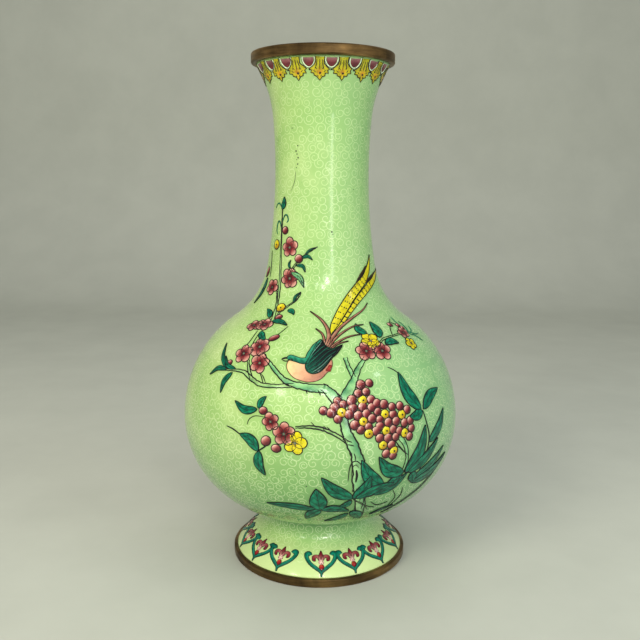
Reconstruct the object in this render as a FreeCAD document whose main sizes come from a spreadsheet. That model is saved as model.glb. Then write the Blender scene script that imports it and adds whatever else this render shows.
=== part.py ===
import FreeCAD, Part
import math
import os
import Sketcher

# Cloisonne vase: spun copper cores brazed together, a fused coat of enamel outside and in,
# brass bands at mouth and foot, and coloured enamel cells that stand a hair proud of the ground.
# Millimetres, +Z up, origin at the middle of the standing plane, picture side towards -Y.

DIMENSIONS = [
    ("total_height", 305.0),
    ("mouth_band_height", 6.0),
    ("mouth_band_radius", 41.8),
    ("foot_band_height", 5.2),
    ("foot_band_radius", 54.3),
    ("foot_band_width", 4.3),
    ("band_rounding", 1.0),
    ("belly_radius", 83.8),
    ("belly_height", 91.5),
    ("lower_arc_radius", 60.0),
    ("upper_arc_radius", 73.0),
    ("shoulder_arc_radius", 48.0),
    ("shoulder_join_height", 151.4),
    ("neck_arc_radius", 350.0),
    ("neck_join_height", 182.9),
    ("flare_arc_radius", 70.0),
    ("flare_join_height", 268.0),
    ("waist_radius", 33.0),
    ("bend_radius", 9.0),
    ("bend_height", 26.0),
    ("dome_radius", 34.0),
    ("dome_join_height", 17.9),
    ("waist_ring_wire", 0.5),
    ("collar_length", 8.0),
    ("bowl_join_height", 60.0),
    ("crown_join_height", 122.0),
    ("enamel_thickness", 0.8),
    ("copper_thickness", 1.0),
    ("lining_thickness", 0.4),
    ("cell_relief", 0.2),
    ("lappet_count", 18),
    ("heart_count", 15),
    ("berry_radius", 2.3),
    ("blossom_radius", 4.6),
    ("bud_radius", 2.1),
]

doc = FreeCAD.newDocument("cloisonne_vase")
sheet = doc.addObject("Spreadsheet::Sheet", "dims")
for row, (alias, value) in enumerate(DIMENSIONS, 1):
    sheet.set(f"A{row}", alias)
    sheet.set(f"B{row}", str(value))
    sheet.setAlias(f"B{row}", alias)
doc.recompute()


UP = FreeCAD.Vector(0, 0, 1)


def number(formula):
    """The value of a formula in the sheet's dimensions."""
    return float(sheet.evalExpression(formula))


# ---------------------------------------------------------------------------
# The outline as tangent arcs, offset inwards by any depth below the surface
# ---------------------------------------------------------------------------

TOP = "(dims.total_height - dims.mouth_band_height)"
ENAMEL = "dims.enamel_thickness"
COPPER = "(dims.enamel_thickness + dims.copper_thickness)"
LINING = "(dims.enamel_thickness + dims.copper_thickness + dims.lining_thickness)"
SURFACE = "0"
RELIEF = "(0 - dims.cell_relief)"


class Arc:
    """One arc of the outline, as formulas.

    bulge is +1 where the arc's centre lies inside the wall and -1 where it lies outside.
    """

    def __init__(self, centre_x, centre_z, radius, bulge, low, high):
        self.centre_x = centre_x
        self.centre_z = centre_z
        self.radius = radius
        self.bulge = bulge
        self.low = low
        self.high = high

    def radius_at(self, height):
        rise = height - number(self.centre_z)
        reach = math.sqrt(max(number(self.radius) ** 2 - rise ** 2, 0.0))
        return number(self.centre_x) + self.bulge * reach

    def reach_formula(self, height):
        """The arc's distance from the axis at a height, as a formula."""
        sign = "+" if self.bulge > 0 else "-"
        return f"({self.centre_x} {sign} sqrt({self.radius} ^ 2 - ({height} - {self.centre_z}) ^ 2))"

    def shape(self):
        centre = FreeCAD.Vector(number(self.centre_x), number(self.centre_z), 0)
        radius = number(self.radius)
        low = math.asin(max(-1.0, (number(self.low) - centre.y) / radius))
        high = math.asin(min(1.0, (number(self.high) - centre.y) / radius))
        circle = Part.Circle(centre, UP, radius)
        if self.bulge > 0:
            return Part.ArcOfCircle(circle, low, high)
        return Part.ArcOfCircle(circle, math.pi - high, math.pi - low)

    def low_end(self):
        return 1 if self.bulge > 0 else 2

    def high_end(self):
        return 2 if self.bulge > 0 else 1


def body_arcs(depth):
    """Belly, shoulder, neck and flare, from the flat of the base to the mouth band."""
    belly = "dims.belly_height"
    lower = "dims.lower_arc_radius"
    upper = "dims.upper_arc_radius"
    shoulder = "dims.shoulder_arc_radius"
    neck = "dims.neck_arc_radius"
    flare = "dims.flare_arc_radius"

    sine = f"((dims.shoulder_join_height - {belly}) / {upper})"
    shoulder_join = f"(dims.shoulder_join_height - {depth} * {sine})"
    shoulder_x = f"(dims.belly_radius - {upper} + ({upper} + {shoulder}) * sqrt(1 - {sine} ^ 2))"
    shoulder_z = f"({belly} + ({upper} + {shoulder}) * {sine})"

    sine = f"(({shoulder_z} - dims.neck_join_height) / {shoulder})"
    neck_join = f"(dims.neck_join_height - {depth} * {sine})"
    neck_x = f"({shoulder_x} + ({neck} - {shoulder}) * sqrt(1 - {sine} ^ 2))"
    neck_z = f"({shoulder_z} + ({neck} - {shoulder}) * {sine})"

    sine = f"(({neck_z} - dims.flare_join_height) / {neck})"
    flare_join = f"(dims.flare_join_height - {depth} * {sine})"
    flare_x = f"({neck_x} - ({neck} - {flare}) * sqrt(1 - {sine} ^ 2))"
    flare_z = f"({neck_z} - ({neck} - {flare}) * {sine})"

    base = f"({belly} - {lower} + {depth})"
    return [
        Arc(f"(dims.belly_radius - {lower})", belly, f"({lower} - {depth})", 1, base, belly),
        Arc(f"(dims.belly_radius - {upper})", belly, f"({upper} - {depth})", 1, belly, shoulder_join),
        Arc(shoulder_x, shoulder_z, f"({shoulder} + {depth})", -1, shoulder_join, neck_join),
        Arc(neck_x, neck_z, f"({neck} + {depth})", -1, neck_join, flare_join),
        Arc(flare_x, flare_z, f"({flare} + {depth})", -1, flare_join, TOP),
    ]


def foot_arcs(depth):
    """Dome and bend of the foot skirt, from the top of the foot band to the waist."""
    bend_x = "(dims.waist_radius + dims.bend_radius)"
    bend_z = "dims.bend_height"
    sine = f"(({bend_z} - dims.dome_join_height) / dims.bend_radius)"
    join = f"(dims.dome_join_height - {depth} * {sine})"
    reach = "(dims.dome_radius + dims.bend_radius)"
    dome_x = f"({bend_x} - {reach} * sqrt(1 - {sine} ^ 2))"
    dome_z = f"({bend_z} - {reach} * {sine})"
    return [
        Arc(dome_x, dome_z, f"(dims.dome_radius - {depth})", 1, "dims.foot_band_height", join),
        Arc(bend_x, bend_z, f"(dims.bend_radius + {depth})", -1, join, bend_z),
    ]


BODY_SURFACE = body_arcs(SURFACE)
FOOT_SURFACE = foot_arcs(SURFACE)


def surface_radius(height):
    """Radius of the finished surface at a height."""
    above_waist = height > number(BODY_SURFACE[0].low) + 1
    arcs = BODY_SURFACE if above_waist else FOOT_SURFACE
    for arc in arcs:
        if height <= number(arc.high):
            return arc.radius_at(height)
    return arcs[-1].radius_at(number(arcs[-1].high))


# ---------------------------------------------------------------------------
# Sketches and solids of revolution
# ---------------------------------------------------------------------------

def new_body(name):
    return doc.addObject("PartDesign::Body", name)


def upright_sketch(body, name):
    """A sketch on the body's own XZ plane, its vertical axis along +Z."""
    sketch = body.newObject("Sketcher::SketchObject", name)
    plane = [item for item in body.Origin.OriginFeatures if item.Role == "XZ_Plane"][0]
    sketch.AttachmentSupport = [(plane, "")]
    sketch.MapMode = "FlatFace"
    return sketch


def constrain(sketch, kind, *places):
    """Adds a constraint; a formula as the last place binds it to the sheet."""
    if isinstance(places[-1], str):
        index = sketch.addConstraint(Sketcher.Constraint(kind, *places[:-1], number(places[-1])))
        sketch.setExpression(f"Constraints[{index}]", places[-1])
    else:
        sketch.addConstraint(Sketcher.Constraint(kind, *places))


def line(sketch, start, end):
    segment = Part.LineSegment(FreeCAD.Vector(*start, 0), FreeCAD.Vector(*end, 0))
    return sketch.addGeometry(segment)


def revolve(body, sketch, name):
    feature = body.newObject("PartDesign::Revolution", name)
    feature.Profile = sketch
    feature.ReferenceAxis = (sketch, ["V_Axis"])
    feature.Angle = 360
    doc.recompute()
    body.Tip = feature
    return feature


ORIGIN = (-1, 1)
AXIS = -2


def chain_arcs(sketch, arcs):
    """Draws tangent arcs; the first one's low end is left to the caller."""
    indices = []
    for arc in arcs:
        indices.append(sketch.addGeometry(arc.shape()))
    for i, arc in enumerate(arcs):
        constrain(sketch, "Radius", indices[i], arc.radius)
        if i:
            below = arcs[i - 1]
            constrain(sketch, "Tangent", indices[i - 1], below.high_end(), indices[i], arc.low_end())
    return indices


def close_to_axis(sketch, first, first_end, last, last_end, low, high, low_x, high_x):
    """Joins the ends of a chain to the axis with a flat bottom, the axis and a flat top."""
    floor = line(sketch, (0, low), (low_x, low))
    roof = line(sketch, (high_x, high), (0, high))
    spine = line(sketch, (0, high), (0, low))
    constrain(sketch, "Coincident", floor, 2, first, first_end)
    constrain(sketch, "Horizontal", floor)
    constrain(sketch, "PointOnObject", floor, 1, AXIS)
    constrain(sketch, "Coincident", roof, 1, last, last_end)
    constrain(sketch, "Horizontal", roof)
    constrain(sketch, "PointOnObject", roof, 2, AXIS)
    constrain(sketch, "Coincident", spine, 1, roof, 2)
    constrain(sketch, "Coincident", spine, 2, floor, 1)


def body_form(name, depth):
    """Solid of the belly and neck whose surface lies at a depth below the finished one."""
    body = new_body(name)
    sketch = upright_sketch(body, name + "_outline")
    arcs = body_arcs(depth)
    lines = chain_arcs(sketch, arcs)
    lower = lines[0]
    constrain(sketch, "DistanceX", *ORIGIN, lower, 3, arcs[0].centre_x)
    constrain(sketch, "DistanceY", *ORIGIN, lower, 3, arcs[0].centre_z)
    constrain(sketch, "Vertical", lower, 3, lower, 1)
    constrain(sketch, "Horizontal", lower, 3, lower, 2)
    for index, arc in list(zip(lines, arcs))[1:]:
        constrain(sketch, "DistanceY", *ORIGIN, index, arc.high_end(), arc.high)
    top = number(TOP)
    close_to_axis(sketch, lower, 1, lines[-1], arcs[-1].high_end(), number(arcs[0].low), top,
                  number(arcs[0].centre_x), arcs[-1].radius_at(top))
    revolve(body, sketch, name + "_turned")
    return body


def foot_form(name, depth, top):
    """Solid of the foot whose surface lies at a depth below the finished one."""
    body = new_body(name)
    sketch = upright_sketch(body, name + "_outline")
    arcs = foot_arcs(depth)
    dome, bend = chain_arcs(sketch, arcs)
    constrain(sketch, "DistanceX", *ORIGIN, bend, 3, arcs[1].centre_x)
    constrain(sketch, "DistanceY", *ORIGIN, bend, 3, arcs[1].centre_z)
    constrain(sketch, "Horizontal", bend, 3, bend, 1)
    constrain(sketch, "DistanceY", *ORIGIN, dome, 2, arcs[0].high)
    constrain(sketch, "DistanceY", *ORIGIN, dome, 1, arcs[0].low)
    waist = arcs[1].radius_at(number(arcs[1].high))
    low = number(arcs[0].low)
    collar = line(sketch, (waist, number(arcs[1].high)), (waist, number(top)))
    constrain(sketch, "Coincident", collar, 1, bend, 1)
    constrain(sketch, "Vertical", collar)
    constrain(sketch, "DistanceY", *ORIGIN, collar, 2, top)
    close_to_axis(sketch, dome, 1, collar, 2, low, number(top), arcs[0].radius_at(low), waist)
    revolve(body, sketch, name + "_turned")
    return body


def band(name, inner, outer, low, high):
    """A brass ring of rectangular section with its outer rims rounded over."""
    body = new_body(name)
    sketch = upright_sketch(body, name + "_section")
    left, right = number(inner), number(outer)
    bottom, top = number(low), number(high)
    corners = [(left, bottom), (right, bottom), (right, top), (left, top)]
    sides = [line(sketch, corners[i], corners[(i + 1) % 4]) for i in range(4)]
    for i, side in enumerate(sides):
        constrain(sketch, "Coincident", side, 2, sides[(i + 1) % 4], 1)
        constrain(sketch, "Horizontal" if i % 2 == 0 else "Vertical", side)
    constrain(sketch, "DistanceX", *ORIGIN, sides[0], 1, inner)
    constrain(sketch, "DistanceX", *ORIGIN, sides[0], 2, outer)
    if bottom > 0:
        constrain(sketch, "DistanceY", *ORIGIN, sides[0], 1, low)
    else:
        constrain(sketch, "PointOnObject", sides[0], 1, -1)
    constrain(sketch, "DistanceY", *ORIGIN, sides[2], 1, high)
    turned = revolve(body, sketch, name + "_turned")
    rims = [
        f"Edge{i}" for i, edge in enumerate(turned.Shape.Edges, 1)
        if hasattr(edge.Curve, "Radius") and abs(edge.Curve.Radius - right) < 0.01
        and abs(edge.BoundBox.ZLength) < 0.01
    ]
    rounding = body.newObject("PartDesign::Fillet", name + "_rounding")
    rounding.Base = (turned, rims)
    rounding.setExpression("Radius", "dims.band_rounding")
    body.Tip = rounding
    doc.recompute()
    return body


def cut(name, base, tool):
    result = doc.addObject("Part::Cut", name)
    result.Base = base
    result.Tool = tool
    return result


def common(name, base, tool):
    result = doc.addObject("Part::Common", name)
    result.Base = base
    result.Tool = tool
    return result


def drum(name, radius, low, high):
    """A cylinder about the axis that picks out one zone of height."""
    zone = doc.addObject("Part::Cylinder", name)
    zone.setExpression("Radius", radius)
    zone.setExpression("Height", f"{high} - {low}")
    zone.setExpression("Placement.Base.z", low)
    return zone


# ---------------------------------------------------------------------------
# The turned pieces
# ---------------------------------------------------------------------------

nodes = []
WIDE = "2 * dims.belly_radius"
FLAT_RADIUS = "(dims.belly_radius - dims.lower_arc_radius)"
BASE_HEIGHT = "(dims.belly_height - dims.lower_arc_radius)"

body_surface = body_form("body_surface", SURFACE)
body_under_enamel = body_form("body_under_enamel", ENAMEL)
body_under_copper = body_form("body_under_copper", COPPER)
body_cavity = body_form("body_cavity", LINING)
foot_top = f"({BASE_HEIGHT} + dims.collar_length)"
foot_surface = foot_form("foot_surface", SURFACE, foot_top)
foot_under_enamel = foot_form("foot_under_enamel", ENAMEL, foot_top)
foot_under_copper = foot_form("foot_under_copper", COPPER, foot_top)
foot_cavity_top = f"({BASE_HEIGHT} + dims.enamel_thickness - dims.lining_thickness)"
foot_cavity = foot_form("foot_cavity", LINING, foot_cavity_top)

# The copper is raised in rings that are brazed edge to edge, with a flat disc as the bottom.
copper_wall = cut("copper_wall", body_under_enamel, body_under_copper)
COPPER_RINGS = [
    ("belly_core", "dims.bowl_join_height", "dims.belly_height"),
    ("upper_belly_core", "dims.belly_height", "dims.crown_join_height"),
    ("shoulder_core", "dims.crown_join_height", "dims.neck_join_height"),
    ("neck_core", "dims.neck_join_height", "dims.total_height"),
]
for ring_name, low, high in COPPER_RINGS:
    nodes.append(common(ring_name, copper_wall, drum(ring_name + "_zone", WIDE, low, high)))
bowl_zone = drum("bowl_zone", WIDE, "0", "dims.bowl_join_height")
disc_zone = drum("disc_zone", FLAT_RADIUS, "0", "dims.bowl_join_height")
bowl = common("bowl", copper_wall, bowl_zone)
nodes.append(cut("bowl_core", bowl, disc_zone))
nodes.append(common("base_disc", bowl, disc_zone))

foot_wall = cut("foot_wall", foot_under_enamel, foot_under_copper)
nodes.append(cut("foot_core", foot_wall, body_under_enamel))
foot_coat = cut("foot_coat", foot_surface, foot_under_enamel)
nodes.append(cut("foot_enamel", foot_coat, body_under_enamel))
body_coat = cut("body_coat", body_surface, body_under_enamel)
nodes.append(cut("body_enamel", body_coat, foot_surface))
nodes.append(cut("inner_enamel", body_under_copper, body_cavity))
foot_inside = cut("foot_inside", foot_under_copper, body_under_enamel)
nodes.append(cut("foot_inner_enamel", foot_inside, foot_cavity))

mouth_opening = body_arcs(LINING)[-1].reach_formula(TOP)
nodes.append(band("mouth_band", mouth_opening, "dims.mouth_band_radius", TOP, "dims.total_height"))
foot_opening = "(dims.foot_band_radius - dims.foot_band_width)"
nodes.append(band("foot_band", foot_opening, "dims.foot_band_radius", "0", "dims.foot_band_height"))

ring = doc.addObject("Part::Torus", "waist_ring")
touching = "(dims.lower_arc_radius + dims.waist_ring_wire)"
ring_radius = "(dims.waist_radius + dims.waist_ring_wire)"
ring.setExpression("Radius1", ring_radius)
ring.setExpression("Radius2", "dims.waist_ring_wire")
ring.setExpression("Placement.Base.z",
                   f"dims.belly_height - sqrt({touching} ^ 2 - ({ring_radius} - {FLAT_RADIUS}) ^ 2)")
nodes.append(ring)

body_outside = body_form("body_outside", RELIEF)
foot_outside = foot_form("foot_outside", RELIEF, foot_top)
body_relief = cut("body_relief", body_outside, body_surface)
foot_relief_all = cut("foot_relief_all", foot_outside, foot_surface)
foot_relief = cut("foot_relief", foot_relief_all, body_outside)
doc.recompute()


# ---------------------------------------------------------------------------
# Enamel cells: flat outlines stamped through the thin relief layer
# ---------------------------------------------------------------------------

def surface_point(azimuth, height):
    """Point of the surface; azimuth in degrees from -Y, growing towards +X."""
    radius = surface_radius(height)
    turn = math.radians(azimuth)
    return FreeCAD.Vector(radius * math.sin(turn), -radius * math.cos(turn), height)


def local_frame(azimuth, height):
    """Origin on the surface, axes to the right, up the wall and out of it."""
    step = 0.05
    origin = surface_point(azimuth, height)
    up = surface_point(azimuth, height + step) - surface_point(azimuth, height - step)
    turn = math.radians(azimuth)
    right = FreeCAD.Vector(math.cos(turn), math.sin(turn), 0)
    up.normalize()
    return origin, right, up, right.cross(up)


CELL_REACH = 7.0
FOOT_CELL_REACH = 4.0
BRANCH_REACH = 24.0


def stamp(wire, frame, reach=CELL_REACH):
    """A prism of a flat outline, drawn in a local frame, that passes through the relief layer."""
    origin, right, up, out = frame
    matrix = FreeCAD.Matrix(
        right.x, up.x, out.x, origin.x,
        right.y, up.y, out.y, origin.y,
        right.z, up.z, out.z, origin.z,
        0, 0, 0, 1)
    prism = Part.Face(wire).extrude(UP * (2 * reach))
    prism.translate(UP * -reach)
    prism.transformShape(matrix)
    return prism


def to_frame(frame, azimuth, height):
    """Where a surface point falls on a local frame's plane."""
    origin, right, up, _ = frame
    offset = surface_point(azimuth, height) - origin
    return FreeCAD.Vector(offset.dot(right), offset.dot(up), 0)


def polygon(points):
    return Part.makePolygon([FreeCAD.Vector(x, y, 0) for x, y in points + points[:1]])


def disc(azimuth, height, radius):
    return stamp(Part.Wire(Part.makeCircle(radius)), local_frame(azimuth, height))


def leaf(base, tip, width):
    """A leaf between two surface points: two arcs that meet at its ends."""
    frame = local_frame((base[0] + tip[0]) / 2, (base[1] + tip[1]) / 2)
    start = to_frame(frame, *base)
    end = to_frame(frame, *tip)
    along = end - start
    across = FreeCAD.Vector(-along.y, along.x, 0).normalize() * (width / 2)
    middle = (start + end) * 0.5
    sides = [
        Part.Arc(start, middle + across, end).toShape(),
        Part.Arc(end, middle - across, start).toShape(),
    ]
    return stamp(Part.Wire(sides), frame)


def branch(points, start_width, end_width):
    """A tapered branch through surface points, stamped in one direction from its middle."""
    middle = len(points) / 2 - 0.5
    near, far = points[int(middle)], points[math.ceil(middle)]
    frame = local_frame((near[0] + far[0]) / 2, (near[1] + far[1]) / 2)
    route = [to_frame(frame, *point) for point in points]
    left, right = [], []
    for i, place in enumerate(route):
        before = route[max(i - 1, 0)]
        after = route[min(i + 1, len(route) - 1)]
        along = (after - before).normalize()
        width = start_width + (end_width - start_width) * i / (len(route) - 1)
        side = FreeCAD.Vector(-along.y, along.x, 0) * (width / 2)
        left.append((place.x + side.x, place.y + side.y))
        right.append((place.x - side.x, place.y - side.y))
    return stamp(polygon(left + right[::-1]), frame, BRANCH_REACH)


def merged(pieces):
    return pieces[0].multiFuse(pieces[1:]) if len(pieces) > 1 else pieces[0]


SMALLEST_CELL = 0.05


def less(solids, tool):
    """The solids with a prism cut away, without slivers too small to be a cell."""
    result = []
    for solid in solids:
        if solid.BoundBox.intersect(tool.BoundBox):
            result += [part for part in solid.cut(tool).Solids if part.Volume > SMALLEST_CELL]
        else:
            result.append(solid)
    return result


def side_by_side(pieces):
    """The same prisms with each one cut back where an earlier one already lies."""
    result = []
    for piece in pieces:
        remains = piece.Solids
        for earlier in list(result):
            remains = less(remains, earlier)
        result += remains
    return result


PETALS = 5
PETAL_REACH = 0.5
PETAL_SIZE = 0.52


def blossom(azimuth, height, radius):
    """A round-petalled blossom, its petals overlapping at the middle."""
    frame = local_frame(azimuth, height)
    pieces = []
    for i in range(PETALS):
        turn = math.radians(90 + 360 * i / PETALS)
        centre = FreeCAD.Vector(math.cos(turn), math.sin(turn), 0) * (PETAL_REACH * radius)
        pieces.append(stamp(Part.Wire(Part.Circle(centre, UP, PETAL_SIZE * radius).toShape()), frame))
    return merged(pieces)


def cells(name, relief, pieces, above=()):
    """One node of enamel cells, cut back where each set of prisms in above lies over them."""
    prisms = side_by_side(pieces)
    solids = []
    for prism in prisms:
        solids += relief.Shape.common(prism).Solids
    for cover in above:
        for prism in cover:
            solids = less(solids, prism)
    node = doc.addObject("Part::Feature", name)
    node.Shape = Part.makeCompound(solids)
    nodes.append(node)
    return prisms


def ringed(make, count, first=0.0):
    return [make(first + 360 * i / count) for i in range(count)]


LAPPETS = int(number("dims.lappet_count"))
HEARTS = int(number("dims.heart_count"))
LAPPET_STEP = 360 / LAPPETS
LAPPET_FIRST = -3.0
LAPPET_HEIGHT = 291.5
HALF_ROUND_HEIGHT = 295.8
HEART_HEIGHT = 12.2
PALMETTE_HEIGHT = 13.6
DROP_HEIGHT = 9.9
DROP_RADIUS = 1.1
BERRY = number("dims.berry_radius")
BLOSSOM = number("dims.blossom_radius")
YELLOW_BLOSSOM = 0.8 * BLOSSOM
BUD = number("dims.bud_radius")


def lappet(azimuth):
    """Yellow lappet: a narrow neck that widens to three pointed lobes."""
    frame = local_frame(azimuth, LAPPET_HEIGHT)
    half = [(2.2, 6.6), (2.1, 3.4), (5.3, 0.6), (4.9, -1.4), (3.4, -2.6), (2.2, -3.2), (0, -6.4)]
    outline = half + [(-x, y) for x, y in reversed(half[:-1])]
    return stamp(polygon(outline), frame)


def half_round(azimuth):
    """Maroon half-round that hangs from the band between two lappets."""
    frame = local_frame(azimuth, HALF_ROUND_HEIGHT)
    left = FreeCAD.Vector(-3.6, 2.8, 0)
    right = FreeCAD.Vector(3.6, 2.8, 0)
    lowest = FreeCAD.Vector(0, -3.2, 0)
    dome = Part.Arc(left, lowest, right)
    chord = Part.LineSegment(right, left)
    return stamp(Part.Wire([dome.toShape(), chord.toShape()]), frame)


def heart_frame(azimuth):
    """Green heart, open at the top: two curved arms that meet in a stalk."""
    frame = local_frame(azimuth, HEART_HEIGHT)
    outer = [(0, -7.0), (1.2, -4.6), (5.4, -1.8), (7.6, 1.4), (7.2, 4.6), (5.2, 5.2)]
    inner = [(4.9, 3.6), (5.6, 2.9), (5.5, 1.6), (3.9, -0.4), (0, -3.6)]
    right = outer + inner
    left = [(-x, y) for x, y in reversed(right) if x > 0]
    return stamp(polygon(right + left), frame, FOOT_CELL_REACH)


def palmette(azimuth):
    """Palmette of a pointed top lobe and two curled side lobes."""
    frame = local_frame(azimuth, PALMETTE_HEIGHT)
    half = [(0, 5.8), (1.3, 2.6), (3.8, 2.0), (4.2, 0.2), (2.8, -0.4), (1.5, -2.0), (0, -2.2)]
    outline = half + [(-x, y) for x, y in reversed(half[1:-1])]
    return stamp(polygon(outline), frame, FOOT_CELL_REACH)


def drop(azimuth):
    frame = local_frame(azimuth, DROP_HEIGHT)
    return stamp(Part.Wire(Part.makeCircle(DROP_RADIUS)), frame, FOOT_CELL_REACH)


cells("rim_lappets", body_relief, ringed(lappet, LAPPETS, LAPPET_FIRST))
cells("rim_half_rounds", body_relief, ringed(half_round, LAPPETS, LAPPET_FIRST + LAPPET_STEP / 2))
cells("foot_heart_frames", foot_relief, ringed(heart_frame, HEARTS))
cells("foot_palmettes", foot_relief, ringed(palmette, HEARTS))
cells("foot_drops", foot_relief, ringed(drop, HEARTS))

# The picture, top layer first. Surface points are (azimuth in degrees, height).
wing = cells("bird_wing", body_relief, [
    branch([(-6, 137), (1, 139), (8, 143)], 7.0, 3.0),
])
bird = cells("bird_body", body_relief, [
    disc(-13, 138, 3.4),
    branch([(-14, 136), (-8, 133), (-1, 130), (5, 134)], 6.0, 4.0),
    leaf((-14, 138), (-19, 138), 1.4),
], [wing])
plumes = cells("bird_plumes", body_relief, [
    leaf((6, 141), (-8, 160), 2.4),
    leaf((8, 142), (-1, 153), 1.8),
    leaf((9, 143), (39, 163), 2.6),
    leaf((9, 142), (28, 153), 1.8),
    leaf((9, 141), (23, 149), 1.4),
], [wing, bird])
tail = cells("bird_tail", body_relief, [
    branch([(7, 150), (16, 158), (27, 168), (45, 182), (64, 193)], 3.4, 3.6),
    branch([(9, 149), (20, 158), (34, 168), (54, 180)], 3.0, 2.4),
], [wing, plumes])

YELLOW_BERRIES = [(16, 119), (25, 111), (33, 110), (16, 109), (18, 102), (25, 103), (33, 100),
                  (24, 95), (28, 91), (8, 114)]
RED_BERRIES = [(19, 128), (23, 129), (17, 124), (22, 123), (20, 117), (25, 117), (29, 118), (30, 113),
               (20, 112), (36, 114), (38, 109), (21, 107), (29, 107), (37, 104), (22, 99), (29, 99),
               (34, 95), (12, 113), (12, 107), (4, 116), (4, 110), (8, 109), (10, 118), (26, 86)]
yellow_berries = cells("yellow_berries", body_relief, [disc(*spot, BERRY) for spot in YELLOW_BERRIES])
red_berries = cells("red_berries", body_relief, [disc(*spot, BERRY) for spot in RED_BERRIES],
                    [yellow_berries])

YELLOW_BLOSSOMS = [(-9, 98), (28, 146), (-33, 162), (54, 143), (-58, 196)]
RED_BLOSSOMS = [(-13, 102), (-18, 108), (23, 142), (31, 141), (-39, 138), (-32, 143), (-28, 135),
                (-42, 151), (-34, 152), (-36, 195), (-32, 178), (-52, 172), (55, 148)]
yellow_blossoms = cells("yellow_blossoms", body_relief,
                        [blossom(*spot, YELLOW_BLOSSOM) for spot in YELLOW_BLOSSOMS])
red_blossoms = cells("red_blossoms", body_relief,
                     [blossom(*spot, BLOSSOM) for spot in RED_BLOSSOMS], [yellow_blossoms])
BUDS = [(-22, 113), (-20, 97), (-16, 94), (-45, 133), (-26, 147), (-24, 189), (-44, 205),
        (50, 152), (59, 150)]
buds = cells("buds", body_relief, [disc(*spot, BUD) for spot in BUDS], [red_blossoms])

DARK_LEAVES = [
    ((43, 110), (35, 131), 8.0), ((44, 109), (58, 116), 6.0), ((43, 110), (36, 109), 3.4),
    ((46, 92), (55, 101), 4.5), ((34, 75), (44, 99), 8.0), ((39, 80), (48, 85), 4.0),
    ((43, 69), (55, 80), 5.0), ((45, 65), (62, 74), 5.0), ((34, 76), (23, 87), 6.0),
    ((27, 70), (17, 88), 7.0), ((28, 71), (33, 78), 5.0), ((13, 65), (3, 77), 6.5),
    ((13, 65), (17, 76), 5.0), ((13, 65), (35, 69), 6.5), ((13, 64), (8, 58), 4.0),
    ((0, 57), (0, 71), 7.0), ((-3, 56), (-19, 55), 4.5), ((0, 55), (0, 49), 5.0),
    ((5, 57), (14, 51), 4.5), ((18, 50), (19, 43), 4.5),
]
SPRIG_LEAVES = [
    ((-42, 157), (-29, 155), 2.6), ((-24, 159), (-18, 163), 1.8), ((-67, 175), (-68, 161), 3.0),
    ((-48, 133), (-56, 141), 2.2), ((-46, 130), (-55, 124), 2.0), ((-43, 127), (-43, 117), 2.2),
    ((-25, 113), (-34, 114), 3.6), ((-24, 114), (-22, 120), 3.0), ((-23, 91), (-36, 98), 4.4),
    ((-22, 91), (-21, 77), 4.0), ((27, 148), (29, 153), 4.0), ((34, 147), (37, 152), 3.6),
    ((35, 142), (42, 143), 3.0), ((64, 141), (68, 144), 2.0), ((-49, 218), (-50, 223), 2.6),
]
blooms = [red_blossoms, yellow_blossoms, buds, red_berries, yellow_berries]
dark_leaves = cells("dark_leaves", body_relief, [leaf(*spot) for spot in DARK_LEAVES], blooms)
sprig_leaves = cells("sprig_leaves", body_relief, [leaf(*spot) for spot in SPRIG_LEAVES],
                     blooms + [wing, bird, plumes])

TRUNK = [(20, 45), (17, 60), (14, 70), (14, 82), (13, 92), (10, 101), (9, 111), (9, 121)]
PERCH = [(9, 119), (2, 126), (-5, 127), (-13, 127), (-20, 125), (-25, 127), (-33, 128), (-43, 132)]
LIMB = [(9, 120), (13, 131), (20, 138)]
branches = cells("trunk_and_branches", body_relief, [
    branch(TRUNK, 11.0, 4.5),
    branch(PERCH, 4.5, 1.4),
    branch(LIMB, 4.0, 1.6),
    branch([(11, 127), (12, 139)], 2.6, 1.4),
    branch([(-22, 126), (-27, 132), (-35, 135)], 2.0, 1.0),
    branch([(-16, 127), (-21, 133), (-26, 137)], 2.0, 1.0),
], blooms + [bird, dark_leaves])
TWIGS = [
    [(-36, 155), (-40, 166), (-45, 178), (-48, 192), (-50, 205), (-52, 218)],
    [(7, 104), (-1, 106), (-9, 105), (-15, 100)],
    [(-13, 104), (-20, 110), (-24, 113)],
    [(-20, 96), (-23, 92)],
    [(31, 143), (41, 145), (51, 147), (56, 151)],
    [(-34, 184), (-24, 189), (-8, 192), (-1, 194)],
    [(44, 109), (46, 100), (45, 90), (42, 76), (36, 64)],
]
cells("twigs", body_relief, [branch(route, 1.0, 0.7) for route in TWIGS],
      blooms + [branches, dark_leaves, sprig_leaves, tail])

# ---------------------------------------------------------------------------
# Check everything, then write one file per piece
# ---------------------------------------------------------------------------

doc.recompute()
for item in doc.Objects:
    if "Invalid" in item.State or "Error" in item.State:
        raise RuntimeError(f"{item.Name} failed: {item.State}")

for whole, inside in ((body_surface, body_under_enamel), (body_under_enamel, body_under_copper),
                      (body_under_copper, body_cavity), (foot_surface, foot_under_enamel)):
    if not whole.Shape.Volume > inside.Shape.Volume:
        raise RuntimeError(f"{inside.Name} is not inside {whole.Name}")

for node in nodes:
    node.Label = node.Name
    if node.Shape.isNull() or not node.Shape.isValid() or not node.Shape.Solids:
        raise RuntimeError(f"{node.Name} has no valid solid")

os.makedirs("parts", exist_ok=True)
for node in nodes:
    node.Shape.exportStep(f"parts/{node.Label}.step")
    print(f"{node.Label:20s} solids {len(node.Shape.Solids):3d}  volume {node.Shape.Volume:10.1f} mm3")
print("pieces", len(nodes))
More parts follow.
